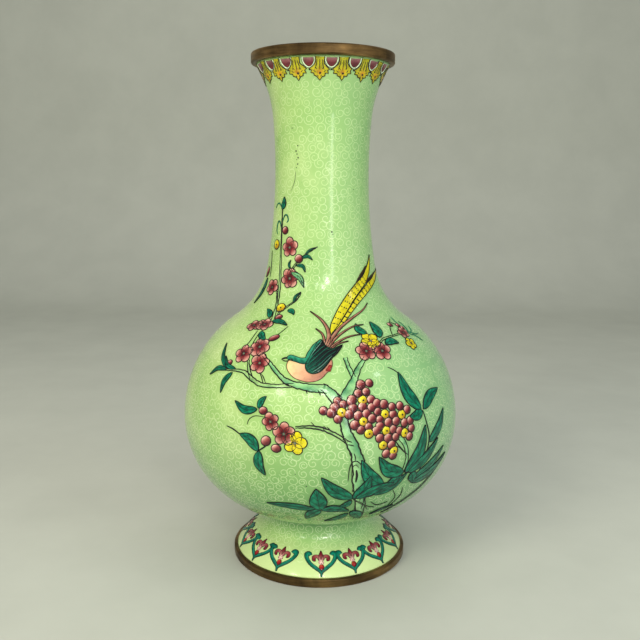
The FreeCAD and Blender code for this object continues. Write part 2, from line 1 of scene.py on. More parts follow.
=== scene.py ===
"""Looks of the cloisonne vase: enamel ground with raised scroll wires, painted cells and aged brass bands.

The picture is drawn on the wall of the vase. A place on the wall is an azimuth in degrees (0 at the
front, growing to the viewer's right) and a height in millimetres; small shapes are drawn in
millimetres across and up from such a place.
"""
import itertools
import math
import random

import bpy
import numpy as np
from mathutils import Matrix, Vector


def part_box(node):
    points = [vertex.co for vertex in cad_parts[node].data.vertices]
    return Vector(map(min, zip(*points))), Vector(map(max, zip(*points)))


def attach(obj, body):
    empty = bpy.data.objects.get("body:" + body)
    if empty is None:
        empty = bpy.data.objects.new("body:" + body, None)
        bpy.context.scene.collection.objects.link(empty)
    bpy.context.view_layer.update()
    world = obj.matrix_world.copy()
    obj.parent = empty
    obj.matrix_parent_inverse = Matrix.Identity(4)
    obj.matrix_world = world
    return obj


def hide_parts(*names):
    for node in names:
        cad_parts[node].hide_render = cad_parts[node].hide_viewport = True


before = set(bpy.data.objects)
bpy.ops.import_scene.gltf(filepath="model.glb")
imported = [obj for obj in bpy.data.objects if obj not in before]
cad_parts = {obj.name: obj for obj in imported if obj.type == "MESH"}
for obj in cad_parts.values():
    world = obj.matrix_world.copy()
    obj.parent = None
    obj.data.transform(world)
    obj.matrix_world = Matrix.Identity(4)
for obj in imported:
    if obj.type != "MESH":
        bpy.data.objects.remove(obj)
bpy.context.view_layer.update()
MM = 0.001

# ---------------------------------------------------------------------------
# The wall of the vase: the same tangent arcs as the turned pieces, in millimetres
# ---------------------------------------------------------------------------

NECK_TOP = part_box("mouth_band")[0].z / MM
FOOT_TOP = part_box("foot_band")[1].z / MM
BELLY_RADIUS = 83.8
BELLY_HEIGHT = 91.5
LOWER_ARC = 60.0
UPPER_ARC = 73.0
SHOULDER_ARC = 48.0
SHOULDER_JOIN = 151.4
NECK_ARC = 350.0
NECK_JOIN = 182.9
FLARE_ARC = 70.0
FLARE_JOIN = 268.0
WAIST_RADIUS = 33.0
BEND_ARC = 9.0
BEND_HEIGHT = 26.0
DOME_ARC = 34.0
DOME_JOIN = 17.9
ENAMEL = 0.8


def next_arc(centre, join, old_radius, new_radius, turns_over):
    """Centre of the arc that carries on smoothly at a height from an arc whose centre is known."""
    sine = (join - centre[1]) / old_radius
    cosine = math.sqrt(1 - sine ** 2)
    if turns_over:
        reach = old_radius + new_radius
        return centre[0] + reach * cosine, centre[1] + reach * sine
    reach = new_radius - old_radius
    return centre[0] + reach * cosine, centre[1] - reach * sine


def body_arcs():
    """(centre radius, centre height, radius, side, lowest height) of each arc from waist to mouth."""
    lower = (BELLY_RADIUS - LOWER_ARC, BELLY_HEIGHT)
    upper = (BELLY_RADIUS - UPPER_ARC, BELLY_HEIGHT)
    shoulder = next_arc(upper, SHOULDER_JOIN, UPPER_ARC, SHOULDER_ARC, True)
    neck = next_arc(shoulder, NECK_JOIN, SHOULDER_ARC, NECK_ARC, False)
    flare = next_arc(neck, FLARE_JOIN, NECK_ARC, FLARE_ARC, False)
    return [(*lower, LOWER_ARC, 1, 0.0), (*upper, UPPER_ARC, 1, BELLY_HEIGHT),
            (*shoulder, SHOULDER_ARC, -1, SHOULDER_JOIN), (*neck, NECK_ARC, -1, NECK_JOIN),
            (*flare, FLARE_ARC, -1, FLARE_JOIN)]


def foot_arcs():
    bend = (WAIST_RADIUS + BEND_ARC, BEND_HEIGHT)
    sine = (BEND_HEIGHT - DOME_JOIN) / BEND_ARC
    reach = DOME_ARC + BEND_ARC
    dome = (bend[0] - reach * math.sqrt(1 - sine ** 2), bend[1] - reach * sine)
    return [(*dome, DOME_ARC, 1, 0.0), (*bend, BEND_ARC, -1, DOME_JOIN)]


class Wall:
    """A turned wall as fine tables of height, radius, length along the wall and outward normal."""

    def __init__(self, arcs, low, high, step=0.1):
        count = int(round((high - low) / step)) + 1
        self.height = np.linspace(low, high, count)
        self.radius = np.full(count, WAIST_RADIUS)
        for centre_r, centre_z, radius, side, start in arcs:
            rise = self.height - centre_z
            here = (self.height >= start) & (np.abs(rise) <= radius)
            reach = np.sqrt(np.maximum(radius ** 2 - rise ** 2, 0))
            self.radius = np.where(here, centre_r + side * reach, self.radius)
        if arcs[-1][3] < 0 and high < arcs[-1][1] + 20:
            self.radius = np.where(self.height > arcs[-1][1], WAIST_RADIUS, self.radius)
        run = np.hypot(np.diff(self.radius), np.diff(self.height))
        self.length = np.concatenate([[0.0], np.cumsum(run)])
        slope_r = np.gradient(self.radius, self.length)
        slope_z = np.gradient(self.height, self.length)
        size = np.hypot(slope_r, slope_z)
        self.normal_r = slope_z / size
        self.normal_z = -slope_r / size

    def along(self, height):
        return np.interp(height, self.height, self.length)

    def radius_along(self, length):
        return np.interp(length, self.length, self.radius)

    def place(self, azimuth, length, lift=0.0):
        """Points in metres at an azimuth in radians, a length up the wall and a lift off it."""
        radius = np.interp(length, self.length, self.radius)
        height = np.interp(length, self.length, self.height)
        out_r = np.interp(length, self.length, self.normal_r)
        out_z = np.interp(length, self.length, self.normal_z)
        radius = radius + lift * out_r
        height = height + lift * out_z
        return np.stack([radius * np.sin(azimuth), -radius * np.cos(azimuth), height], -1) * MM


LOWEST_BODY = BELLY_HEIGHT - math.sqrt(LOWER_ARC ** 2 - (WAIST_RADIUS - BELLY_RADIUS + LOWER_ARC) ** 2)
BODY = Wall(body_arcs(), LOWEST_BODY, NECK_TOP)
FOOT = Wall(foot_arcs(), FOOT_TOP, LOWEST_BODY)


class Pen:
    """Draws in millimetres across and up the wall from a place on it."""

    def __init__(self, wall, azimuth, height, turn=0.0):
        self.wall = wall
        self.azimuth = math.radians(azimuth)
        self.length = float(wall.along(height))
        self.turn = math.radians(turn)

    def point(self, across_up, lift):
        spots = np.asarray(across_up, float)
        cosine, sine = math.cos(self.turn), math.sin(self.turn)
        across = spots[..., 0] * cosine - spots[..., 1] * sine
        length = self.length + spots[..., 0] * sine + spots[..., 1] * cosine
        length = np.clip(length, 0, self.wall.length[-1])
        azimuth = self.azimuth + across / self.wall.radius_along(length)
        return self.wall.place(azimuth, length, lift)

    def local(self, azimuth, height):
        """Where a place on the wall falls in the pen's own millimetres (for a pen with no turn)."""
        length = self.wall.along(height)
        across = (np.radians(azimuth) - self.azimuth) * self.wall.radius_along(length)
        return np.stack([across, length - self.length], -1)


# ---------------------------------------------------------------------------
# Meshes
# ---------------------------------------------------------------------------

class Cells:
    """Collects closed thin shapes with a colour at each vertex, then makes one object of them."""

    def __init__(self, name, material, slot, nodes=()):
        self.name = name
        self.material = material
        self.slot = slot
        self.nodes = nodes
        self.weight = 1.0
        self.points = []
        self.colours = []
        self.faces = []
        self.count = 0

    def add(self, points, faces, colours):
        self.points.append(points)
        self.colours.append(np.broadcast_to(colours, (len(points), 3)))
        for face in faces:
            self.faces.append([index + self.count for index in face])
        self.count += len(points)

    def build(self, smooth=True):
        mesh = bpy.data.meshes.new(self.name)
        mesh.from_pydata(np.concatenate(self.points).tolist(), [], self.faces)
        paint = mesh.attributes.new("paint", "FLOAT_COLOR", "POINT")
        colours = np.concatenate(self.colours)
        rgba = np.concatenate([linear(colours), np.ones((len(colours), 1))], 1).astype(np.float32)
        paint.data.foreach_set("color", rgba.ravel())
        mesh.polygons.foreach_set("use_smooth", [smooth] * len(mesh.polygons))
        mesh.materials.append(self.material)
        piece = bpy.data.objects.new(self.name, mesh)
        bpy.context.scene.collection.objects.link(piece)
        return finish_piece(piece, self.slot, self.nodes)


def finish_piece(piece, slot, nodes=()):
    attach(piece, "root")
    if nodes:
        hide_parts(*nodes)
    return piece


def linear(srgb):
    """Screen colours as linear light."""
    srgb = np.asarray(srgb, float)
    return np.where(srgb <= 0.04045, srgb / 12.92, ((srgb + 0.055) / 1.055) ** 2.4)


def grid_faces(rows, columns, wrap=False):
    """Quads of a grid of vertices stored row by row."""
    faces = []
    last = columns if wrap else columns - 1
    for i in range(rows - 1):
        for j in range(last):
            k = (j + 1) % columns
            faces.append([i * columns + j, i * columns + k, (i + 1) * columns + k, (i + 1) * columns + j])
    return faces


def smooth_path(points, per=5, closed=False):
    """A Catmull-Rom curve through the points."""
    points = np.asarray(points, float)
    if closed:
        padded = np.concatenate([points[-1:], points, points[:2]])
    else:
        padded = np.concatenate([2 * points[:1] - points[1:2], points, 2 * points[-1:] - points[-2:-1]])
    spans = len(padded) - 3
    result = []
    for i in range(spans):
        a, b, c, d = padded[i:i + 4]
        for j in range(per):
            t = j / per
            result.append(0.5 * (2 * b + (c - a) * t + (2 * a - 5 * b + 4 * c - d) * t ** 2
                                 + (3 * b - a - 3 * c + d) * t ** 3))
    if not closed:
        result.append(padded[-2])
    return np.array(result)


def sideways(path, closed=False):
    """Unit vectors to the left of a flat path."""
    if closed:
        run = np.roll(path, -1, 0) - np.roll(path, 1, 0)
    else:
        run = np.gradient(path, axis=0)
    run = run / np.maximum(np.hypot(run[:, :1], run[:, 1:]), 1e-9)
    return np.stack([-run[:, 1], run[:, 0]], 1)


# How deep a cell reaches into the ground, and the corners of a painted line and of a wire.
SUNK = -0.06
BRUSH_SECTION = ((1.0, 0.0), (0.8, 1.0), (-0.8, 1.0), (-1.0, 0.0))
WIRE_SECTION = ((1.0, 0.0), (0.0, 1.0), (-1.0, 0.0))


def stroke(cells, pen, path, width, colour, lift=0.16, closed=False, section=BRUSH_SECTION, sunk=SUNK):
    """A raised line; width is one number or one for each point, section its corners from foot to crest."""
    path = np.asarray(path, float)
    count = len(path)
    half = np.broadcast_to(np.asarray(width, float) / 2 * cells.weight, (count,))[:, None]
    side = sideways(path, closed)
    rows = [pen.point(path + side * half * across, np.full(count, sunk + (lift - sunk) * rise))
            for across, rise in section]
    corners = len(section)
    points = np.stack(rows, 1).reshape(-1, 3)
    faces = grid_faces(count, corners, wrap=True)
    last = (count - 1) * corners
    if closed:
        for j in range(corners):
            k = (j + 1) % corners
            faces.append([last + j, last + k, k, j])
    else:
        faces += [list(range(corners))[::-1], [last + j for j in range(corners)]]
    cells.add(points, faces, np.asarray(colour, float))


def dome(cells, pen, outline, middle, paint, lift=0.16, crown=0.06, rings=(0.35, 0.65, 0.88, 1.0)):
    """A closed cell over an outline that its middle can see; paint(ring, angle) gives its colour."""
    outline = np.asarray(outline, float)
    middle = np.asarray(middle, float)
    count = len(outline)
    rows = [np.concatenate([pen.point(middle[None], np.array([lift + crown]))])]
    colours = [np.atleast_2d(paint(0.0, np.zeros(1)))]
    angle = np.arctan2(outline[:, 1] - middle[1], outline[:, 0] - middle[0])
    for ring in rings:
        rise = lift + crown * (1 - ring ** 2)
        rows.append(pen.point(middle + (outline - middle) * ring, np.full(count, rise)))
        colours.append(paint(ring, angle))
    rows.append(pen.point(outline, np.full(count, SUNK)))
    colours.append(paint(1.0, angle))
    rows.append(pen.point(middle[None], np.array([SUNK])))
    colours.append(np.atleast_2d(paint(1.0, np.zeros(1))))
    points = np.concatenate(rows)
    layers = len(rings) + 1
    faces = [[0, 1 + j, 1 + (j + 1) % count] for j in range(count)]
    for i in range(layers - 1):
        base = 1 + i * count
        for j in range(count):
            k = (j + 1) % count
            faces.append([base + j, base + count + j, base + count + k, base + k])
    last = len(points) - 1
    base = 1 + (layers - 1) * count
    faces += [[base + j, last, base + (j + 1) % count] for j in range(count)]
    cells.add(points, faces, np.concatenate([np.broadcast_to(c, (len(r), 3)) for c, r in zip(colours, rows)]))


ACROSS = np.array([-1.0, -0.8, -0.4, 0.0, 0.4, 0.8, 1.0])


def blade(cells, pen, path, half_width, paint, lift=0.12, crown=0.05):
    """A closed cell along a path, as a leaf or a length of branch; paint(u, v) gives its colour."""
    path = np.asarray(path, float)
    count = len(path)
    half = np.maximum(np.broadcast_to(np.asarray(half_width, float), (count,)), 0.02)[:, None]
    side = sideways(path)
    u = np.linspace(0, 1, count)
    rows = []
    colours = []
    for v in ACROSS:
        rows.append(pen.point(path + side * half * v, lift + crown * (1 - v * v) + 0 * u))
        colours.append(paint(u, np.full(count, v)))
    for v in (1.0, -1.0):
        rows.append(pen.point(path + side * half * v, SUNK + 0 * u))
        colours.append(paint(u, np.full(count, v)))
    columns = len(rows)
    points = np.stack(rows, 1).reshape(-1, 3)
    tones = np.stack([np.broadcast_to(c, (count, 3)) for c in colours], 1).reshape(-1, 3)
    faces = grid_faces(count, columns, wrap=True)
    faces += [list(range(columns))[::-1], [(count - 1) * columns + j for j in range(columns)]]
    cells.add(points, faces, tones)


def from_middle(*stops):
    """A paint for a dome that runs through the stops from its middle to its rim."""
    return lambda ring, angle: blend(np.full(len(angle), ring), *stops)


def from_base(*stops):
    """A paint for a blade that runs through the stops from its base to its tip."""
    return lambda u, v: blend(u, *stops)


def spread(values, path, places=None):
    """Values at even steps, or at the given places from 0 to 1, carried to every point of a path."""
    if places is None:
        places = np.linspace(0, 1, len(values))
    return np.interp(np.linspace(0, 1, len(path)), places, values)


def blend(tone, *stops):
    """Colours along evenly spaced stops, for tones from 0 to 1."""
    tone = np.clip(np.atleast_1d(tone), 0, 1)
    places = np.linspace(0, 1, len(stops))
    table = np.array(stops, float)
    return np.stack([np.interp(tone, places, table[:, i]) for i in range(3)], -1)


def lathe(name, wall_points, segments, material, slot, nodes):
    """A turned piece from a closed section of (radius, height) in millimetres."""
    section = np.asarray(wall_points, float)
    turn = np.linspace(0, 2 * math.pi, segments, endpoint=False)
    points = np.stack([
        section[:, None, 0] * np.sin(turn)[None],
        -section[:, None, 0] * np.cos(turn)[None],
        np.broadcast_to(section[:, None, 1], (len(section), segments)),
    ], -1).reshape(-1, 3) * MM
    faces = grid_faces(len(section), segments, wrap=True)
    last = (len(section) - 1) * segments
    faces += [[last + j, last + (j + 1) % segments, (j + 1) % segments, j] for j in range(segments)]
    mesh = bpy.data.meshes.new(name)
    mesh.from_pydata(points.tolist(), [], faces)
    mesh.polygons.foreach_set("use_smooth", [True] * len(mesh.polygons))
    mesh.materials.append(material)
    piece = bpy.data.objects.new(name, mesh)
    bpy.context.scene.collection.objects.link(piece)
    return finish_piece(piece, slot, nodes)


# ---------------------------------------------------------------------------
# Materials
# ---------------------------------------------------------------------------

class Shader:
    """A small helper that wires a Principled material."""

    def __init__(self, name):
        self.material = bpy.data.materials.new(name)
        self.material.use_nodes = True
        self.nodes = self.material.node_tree.nodes
        self.links = self.material.node_tree.links
        self.bsdf = self.nodes["Principled BSDF"]

    def set(self, **values):
        for name, value in values.items():
            self.bsdf.inputs[name.replace("_", " ")].default_value = value

    def node(self, kind, **settings):
        made = self.nodes.new(kind)
        for name, value in settings.items():
            setattr(made, name, value)
        return made

    def join(self, source, output, target, socket):
        self.links.new(source.outputs[output], target.inputs[socket])

    def object_place(self):
        return self.node("ShaderNodeTexCoord")

    def noise(self, scale, detail=3.0, rough=0.5, distortion=0.0, place=None):
        made = self.node("ShaderNodeTexNoise")
        made.inputs["Scale"].default_value = scale
        made.inputs["Detail"].default_value = detail
        made.inputs["Roughness"].default_value = rough
        made.inputs["Distortion"].default_value = distortion
        self.join(place or self.object_place(), "Object", made, "Vector")
        return made

    def ramp(self, source, output, stops):
        made = self.node("ShaderNodeValToRGB")
        elements = made.color_ramp.elements
        while len(elements) < len(stops):
            elements.new(0.5)
        for element, (place, colour) in zip(elements, stops):
            element.position = place
            element.color = (*linear(colour), 1.0) if len(colour) == 3 else (colour[0],) * 3 + (1.0,)
        self.join(source, output, made, "Fac")
        return made

    def mix(self, factor, first, second, blend_type="MIX"):
        """Mixes two colour outputs; each of them is (node, output) or a colour."""
        made = self.node("ShaderNodeMix", data_type="RGBA", blend_type=blend_type)
        for socket, value in ((0, factor), (6, first), (7, second)):
            if isinstance(value, tuple) and isinstance(value[0], bpy.types.Node):
                self.links.new(value[0].outputs[value[1]], made.inputs[socket])
            elif socket == 0:
                made.inputs[0].default_value = value
            else:
                made.inputs[socket].default_value = (*linear(value), 1.0)
        return made

    def bump(self, source, output, strength, distance):
        made = self.node("ShaderNodeBump")
        made.inputs["Strength"].default_value = strength
        made.inputs["Distance"].default_value = distance
        self.join(source, output, made, "Height")
        self.links.new(made.outputs["Normal"], self.bsdf.inputs["Normal"])
        return made


def glazed(name):
    """A polished material in the cloudy green of the ground, paler on the skirt; painted light makes its
    right side cooler, and painted shade darkens it low on the belly and at the waist.
    """
    look = Shader(name)
    look.set(Roughness=0.2, Coat_Weight=0.35, Coat_Roughness=0.04, IOR=1.5)
    place = look.object_place()
    clouds = look.noise(28.0, 4.0, 0.55, 0.4, place)
    base = look.ramp(clouds, "Fac", [(0.3, (0.55, 0.70, 0.40)), (0.52, (0.61, 0.74, 0.44)),
                                     (0.72, (0.68, 0.78, 0.50))])
    split = look.node("ShaderNodeSeparateXYZ")
    look.join(place, "Object", split, "Vector")
    # Painted light: the ground turns a cooler green towards the right side (+x), as if a cool lamp lit that
    # side.
    across = look.node("ShaderNodeMapRange")
    across.inputs["From Min"].default_value = -0.02
    across.inputs["From Max"].default_value = 0.085
    look.join(split, "X", across, "Value")
    painted_cool_side = look.mix((across, "Result"), (base, "Color"), (0.49, 0.68, 0.47))
    height = look.ramp(split, "Z", [(0.004, (1.0,)), (0.0135, (0.75,)), (0.021, (0.0,)), (0.03, (0.0,))])
    skirt = look.mix((height, "Color"), (painted_cool_side, 2), (0.76, 0.84, 0.57))
    # Painted shade: darker green from the waist up the lower belly, standing in for shade and a dark
    # reflection from below.
    under = look.ramp(split, "Z", [(0.017, (0.0,)), (0.031, (0.95,)), (0.055, (0.8,)), (0.11, (0.0,))])
    painted_shade_tone = look.mix((under, "Color"), (skirt, 2), (0.34, 0.56, 0.32))
    return look, place, painted_shade_tone


def ground_enamel():
    """The ground glass with fine pinholes."""
    # The tone from glazed() carries its painted cool side and painted shade.
    look, place, tone = glazed("ground_enamel_glass")
    grain = look.noise(900.0, 2.0, 0.6, 0.0, place)
    specks = look.ramp(grain, "Fac", [(0.24, (1.0,)), (0.29, (0.0,))])
    dusty = look.mix((specks, "Color"), (tone, 2), (0.42, 0.62, 0.36))
    look.links.new(dusty.outputs[2], look.bsdf.inputs["Base Color"])
    pits = look.noise(320.0, 3.0, 0.6, 0.0, place)
    look.bump(pits, "Fac", 0.10, 0.0004)
    return look.material


def wire_enamel():
    """Fine raised scrolls, milky with a little of the wire's shine."""
    look, place, tone = glazed("scroll_wire")
    # The tone from glazed() carries its painted cool side and painted shade.
    shine = look.noise(60.0, 3.0, 0.6, 0.0, place)
    pale = look.ramp(shine, "Fac", [(0.3, (0.80, 0.90, 0.62)), (0.7, (0.92, 0.97, 0.78))])
    shade = look.mix(0.34, (tone, 2), (pale, "Color"))
    look.links.new(shade.outputs[2], look.bsdf.inputs["Base Color"])
    return look.material


def painted(name, roughness, depth=0.12, scale=380.0, coat=0.25):
    """Enamel whose colour is laid on cell by cell, with the mottle of ground glass."""
    look = Shader(name)
    look.set(Roughness=roughness, Coat_Weight=coat, Coat_Roughness=0.05)
    paint = look.node("ShaderNodeAttribute", attribute_name="paint")
    mottle = look.noise(scale, 3.0, 0.6)
    dark = look.ramp(mottle, "Fac", [(0.3, (1.0 - 2 * depth,) * 3), (0.55, (1.0,) * 3)])
    shade = look.mix(1.0, (paint, "Color"), (dark, "Color"), "MULTIPLY")
    look.links.new(shade.outputs[2], look.bsdf.inputs["Base Color"])
    look.bump(mottle, "Fac", 0.12, 0.0002)
    return look.material


def aged_brass():
    """Brown, rubbed brass with dark hollows and brighter worn rims."""
    look = Shader("aged_brass")
    look.set(Metallic=0.85, Roughness=0.42)
    place = look.object_place()
    stain = look.noise(38.0, 5.0, 0.6, 0.8, place)
    colour = look.ramp(stain, "Fac", [(0.28, (0.29, 0.22, 0.13)), (0.5, (0.47, 0.37, 0.22)),
                                      (0.66, (0.60, 0.47, 0.28)), (0.82, (0.72, 0.58, 0.38))])
    streak_place = look.node("ShaderNodeMapping")
    streak_place.inputs["Scale"].default_value = (60.0, 60.0, 900.0)
    look.join(place, "Object", streak_place, "Vector")
    streaks = look.node("ShaderNodeTexNoise")
    streaks.inputs["Scale"].default_value = 1.0
    streaks.inputs["Detail"].default_value = 4.0
    look.join(streak_place, "Vector", streaks, "Vector")
    lines = look.ramp(streaks, "Fac", [(0.35, (0.72, 0.72, 0.72)), (0.6, (1.0, 1.0, 1.0))])
    worn = look.mix(0.8, (colour, "Color"), (lines, "Color"), "MULTIPLY")
    look.links.new(worn.outputs[2], look.bsdf.inputs["Base Color"])
    rough = look.ramp(stain, "Fac", [(0.3, (0.55,)), (0.7, (0.33,))])
    look.join(rough, "Color", look.bsdf, "Roughness")
    look.bump(streaks, "Fac", 0.2, 0.0003)
    return look.material


def spun_copper():
    look = Shader("spun_copper")
    look.set(Metallic=1.0)
    place = look.object_place()
    stain = look.noise(30.0, 4.0, 0.6, 0.5, place)
    colour = look.ramp(stain, "Fac", [(0.3, (0.45, 0.22, 0.14)), (0.7, (0.80, 0.48, 0.34))])
    look.join(colour, "Color", look.bsdf, "Base Color")
    rough = look.ramp(stain, "Fac", [(0.3, (0.5,)), (0.7, (0.28,))])
    look.join(rough, "Color", look.bsdf, "Roughness")
    return look.material


def counter_enamel():
    """The plainer coat inside: turquoise glass with drifting clouds."""
    look = Shader("counter_enamel_glass")
    look.set(Roughness=0.22, Coat_Weight=0.3)
    clouds = look.noise(40.0, 5.0, 0.6, 1.0)
    colour = look.ramp(clouds, "Fac", [(0.3, (0.25, 0.50, 0.47)), (0.55, (0.36, 0.62, 0.56)),
                                       (0.8, (0.50, 0.72, 0.62))])
    look.join(colour, "Color", look.bsdf, "Base Color")
    look.bump(look.noise(260.0), "Fac", 0.15, 0.0004)
    return look.material


GROUND = ground_enamel()
WIRE = wire_enamel()
PAINT = painted("cell_enamel", 0.2)
LEAF_PAINT = painted("leaf_enamel", 0.3, 0.12, 260.0, 0.08)
LEAF_PAINT.node_tree.nodes["Principled BSDF"].inputs["Specular IOR Level"].default_value = 0.3
BERRY_PAINT = painted("berry_enamel", 0.2, 0.10, 700.0)
STEM_PAINT = painted("branch_enamel", 0.2, 0.10, 300.0)
FEATHER_PAINT = painted("feather_enamel", 0.24, 0.06, 300.0)
LINE_PAINT = painted("dark_outline", 0.4, 0.2, 500.0, 0.0)
BRASS = aged_brass()
COPPER = spun_copper()
COUNTER = counter_enamel()


def dress(node, material):
    """Gives a CAD node kept in view a detailed finish."""
    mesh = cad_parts[node].data
    mesh.materials.clear()
    mesh.materials.append(material)


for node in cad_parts:
    if node.endswith("_core") or node == "base_disc":
        dress(node, COPPER)
for node in ("inner_enamel", "foot_inner_enamel"):
    dress(node, COUNTER)
for node in ("mouth_band", "foot_band", "waist_ring"):
    dress(node, BRASS)


# ---------------------------------------------------------------------------
# Drawing tools for the picture
# ---------------------------------------------------------------------------

INK = (0.07, 0.08, 0.06)
WINE_INK = (0.17, 0.05, 0.06)
PALE = (0.86, 0.93, 0.78)
DEEP_RED = (0.38, 0.06, 0.08)
ROSE = (0.58, 0.27, 0.26)
BLUSH = (0.75, 0.51, 0.45)
CREAM = (0.88, 0.74, 0.63)
YELLOW = (0.81, 0.76, 0.05)
AMBER = (0.80, 0.60, 0.06)
ORANGE = (0.70, 0.28, 0.06)
TEAL = (0.0, 0.40, 0.29)
DEEP_GREEN = (0.01, 0.27, 0.20)
BLACK_GREEN = (0.01, 0.09, 0.08)
LEAF_LIGHT = (0.12, 0.57, 0.41)
CELADON = (0.47, 0.69, 0.45)
CELADON_DEEP = (0.22, 0.47, 0.31)
TWIG_TONES = ((0.40, 0.58, 0.36), (0.56, 0.72, 0.44), (0.66, 0.79, 0.50))
PLUME = (0.57, 0.37, 0.29)
BRANCH_TONES = (CELADON_DEEP, CELADON, (0.61, 0.79, 0.53))
LEAF_TONES = (DEEP_GREEN, TEAL, LEAF_LIGHT)

PICTURE_SEED = 7
chance = random.Random(PICTURE_SEED)


def cells_of(name, material, slot, *nodes):
    return Cells(name, material, slot, nodes)


lappets = cells_of("lappet_cells", PAINT, "yellow_enamel", "rim_lappets")
half_rounds = cells_of("half_round_cells", PAINT, "red_enamel", "rim_half_rounds")
hearts = cells_of("heart_cells", LEAF_PAINT, "teal_enamel", "foot_heart_frames")
palmettes = cells_of("palmette_cells", PAINT, "red_enamel", "foot_palmettes")
drops = cells_of("drop_cells", PAINT, "red_enamel", "foot_drops")
stems = cells_of("trunk_and_branch_cells", STEM_PAINT, "celadon_enamel", "trunk_and_branches")
twigs = cells_of("twig_cells", STEM_PAINT, "celadon_enamel", "twigs")
leaves = cells_of("dark_leaf_cells", LEAF_PAINT, "dark_green_enamel", "dark_leaves")
sprigs = cells_of("sprig_leaf_cells", LEAF_PAINT, "dark_green_enamel", "sprig_leaves")
reds = cells_of("red_blossom_petals", PAINT, "red_enamel", "red_blossoms")
yellows = cells_of("yellow_blossom_petals", PAINT, "yellow_enamel", "yellow_blossoms")
bud_cells = cells_of("bud_cells", PAINT, "red_enamel", "buds")
red_beads = cells_of("red_berry_beads", BERRY_PAINT, "red_enamel", "red_berries")
yellow_beads = cells_of("yellow_berry_beads", BERRY_PAINT, "yellow_enamel", "yellow_berries")
bird_coat = cells_of("bird_body_cells", FEATHER_PAINT, "pink_enamel", "bird_body")
wing_cells = cells_of("bird_wing_cells", FEATHER_PAINT, "teal_enamel", "bird_wing")
plume_cells = cells_of("bird_plume_cells", FEATHER_PAINT, "red_enamel", "bird_plumes")
tail_cells = cells_of("bird_tail_cells", FEATHER_PAINT, "yellow_enamel", "bird_tail")
ink = cells_of("dark_outlines", LINE_PAINT, "dark_green_enamel")
ink.weight = 1.35
pale_lines = cells_of("pale_outlines", PAINT, "ground_enamel")
hearts_of_flowers = cells_of("flower_eyes", PAINT, "teal_enamel")

INK_LIFT = 0.30


def ring_of(radius, count=16, squash=1.0, turn=0.0):
    angle = np.linspace(0, 2 * math.pi, count, endpoint=False)
    spots = np.stack([radius * np.cos(angle), radius * squash * np.sin(angle)], -1)
    cosine, sine = math.cos(math.radians(turn)), math.sin(math.radians(turn))
    return spots @ np.array([[cosine, sine], [-sine, cosine]])


def tapered(count, thick, ends=0.35):
    """Widths of a brush line that swells in the middle."""
    u = np.linspace(0, 1, count)
    return thick * (ends + (1 - ends) * np.sin(math.pi * u) ** 0.6)


def brush(pen, points, thick, colour, lift, per=4, ends=0.35):
    path = smooth_path(points, per)
    stroke(ink, pen, path, tapered(len(path), thick, ends), colour, lift)


def wall_brush(places, thick, colour=INK, lift=INK_LIFT):
    """A dark line through places on the body's wall."""
    middle = places[len(places) // 2]
    pen = Pen(BODY, *middle)
    points = [pen.local(*place) for place in places]
    brush(pen, points, thick, colour, lift)


def dot(pen, x, y, radius, corners, tone, lift, crown):
    """A small dark grey dot."""
    dome(ink, pen, ring_of(radius, corners) + np.array([x, y]), (x, y),
         lambda ring, angle: np.full((len(angle), 3), tone), lift, crown)


def edges(pen, path, half, width, colour, lift):
    """A line along both sides of a blade."""
    side = sideways(path)
    for hand in (1, -1):
        stroke(ink, pen, path + side * (half * hand)[:, None], width, colour, lift)


PETAL_EDGE = 0.5
PETAL_STRETCH = 1.12
FLOWERS = {
    "red": (reds, (DEEP_RED, DEEP_RED, ROSE, BLUSH, CREAM), WINE_INK),
    "yellow": (yellows, (AMBER, YELLOW, YELLOW, YELLOW, (0.86, 0.84, 0.2)), (0.16, 0.12, 0.03))}
BEAD_LIGHT = math.radians(130)
BEADS = {
    "red": (red_beads, WINE_INK,
            ((0.30, 0.08, 0.10), (0.47, 0.15, 0.16), (0.66, 0.40, 0.36), (0.86, 0.70, 0.61))),
    "bud": (bud_cells, WINE_INK,
            ((0.34, 0.08, 0.10), (0.50, 0.20, 0.20), (0.67, 0.42, 0.38), (0.86, 0.70, 0.62))),
    "yellow": (yellow_beads, (0.22, 0.15, 0.03),
               ((0.66, 0.50, 0.05), (0.78, 0.70, 0.05), YELLOW, (0.90, 0.88, 0.30)))}


def petal(target, pen, centre, radius, axis, colours, lift, dark):
    """A round petal; axis is the direction to its tip, where its outline is widest."""
    tip = np.array([math.cos(axis), math.sin(axis)])
    outline = ring_of(radius, 14)
    outline = outline + np.outer(outline @ tip * (PETAL_STRETCH - 1), tip) + centre

    def paint(ring, angle):
        return blend(0.5 + 0.5 * ring * np.cos(angle - axis), *colours)

    dome(target, pen, outline, centre, paint, lift, 0.10)
    angle = np.arctan2(outline[:, 1] - centre[1], outline[:, 0] - centre[0])
    outer = 0.5 + 0.5 * np.cos(angle - axis)
    stroke(ink, pen, outline, PETAL_EDGE * (0.35 + 0.65 * outer), dark, lift + 0.12, closed=True)


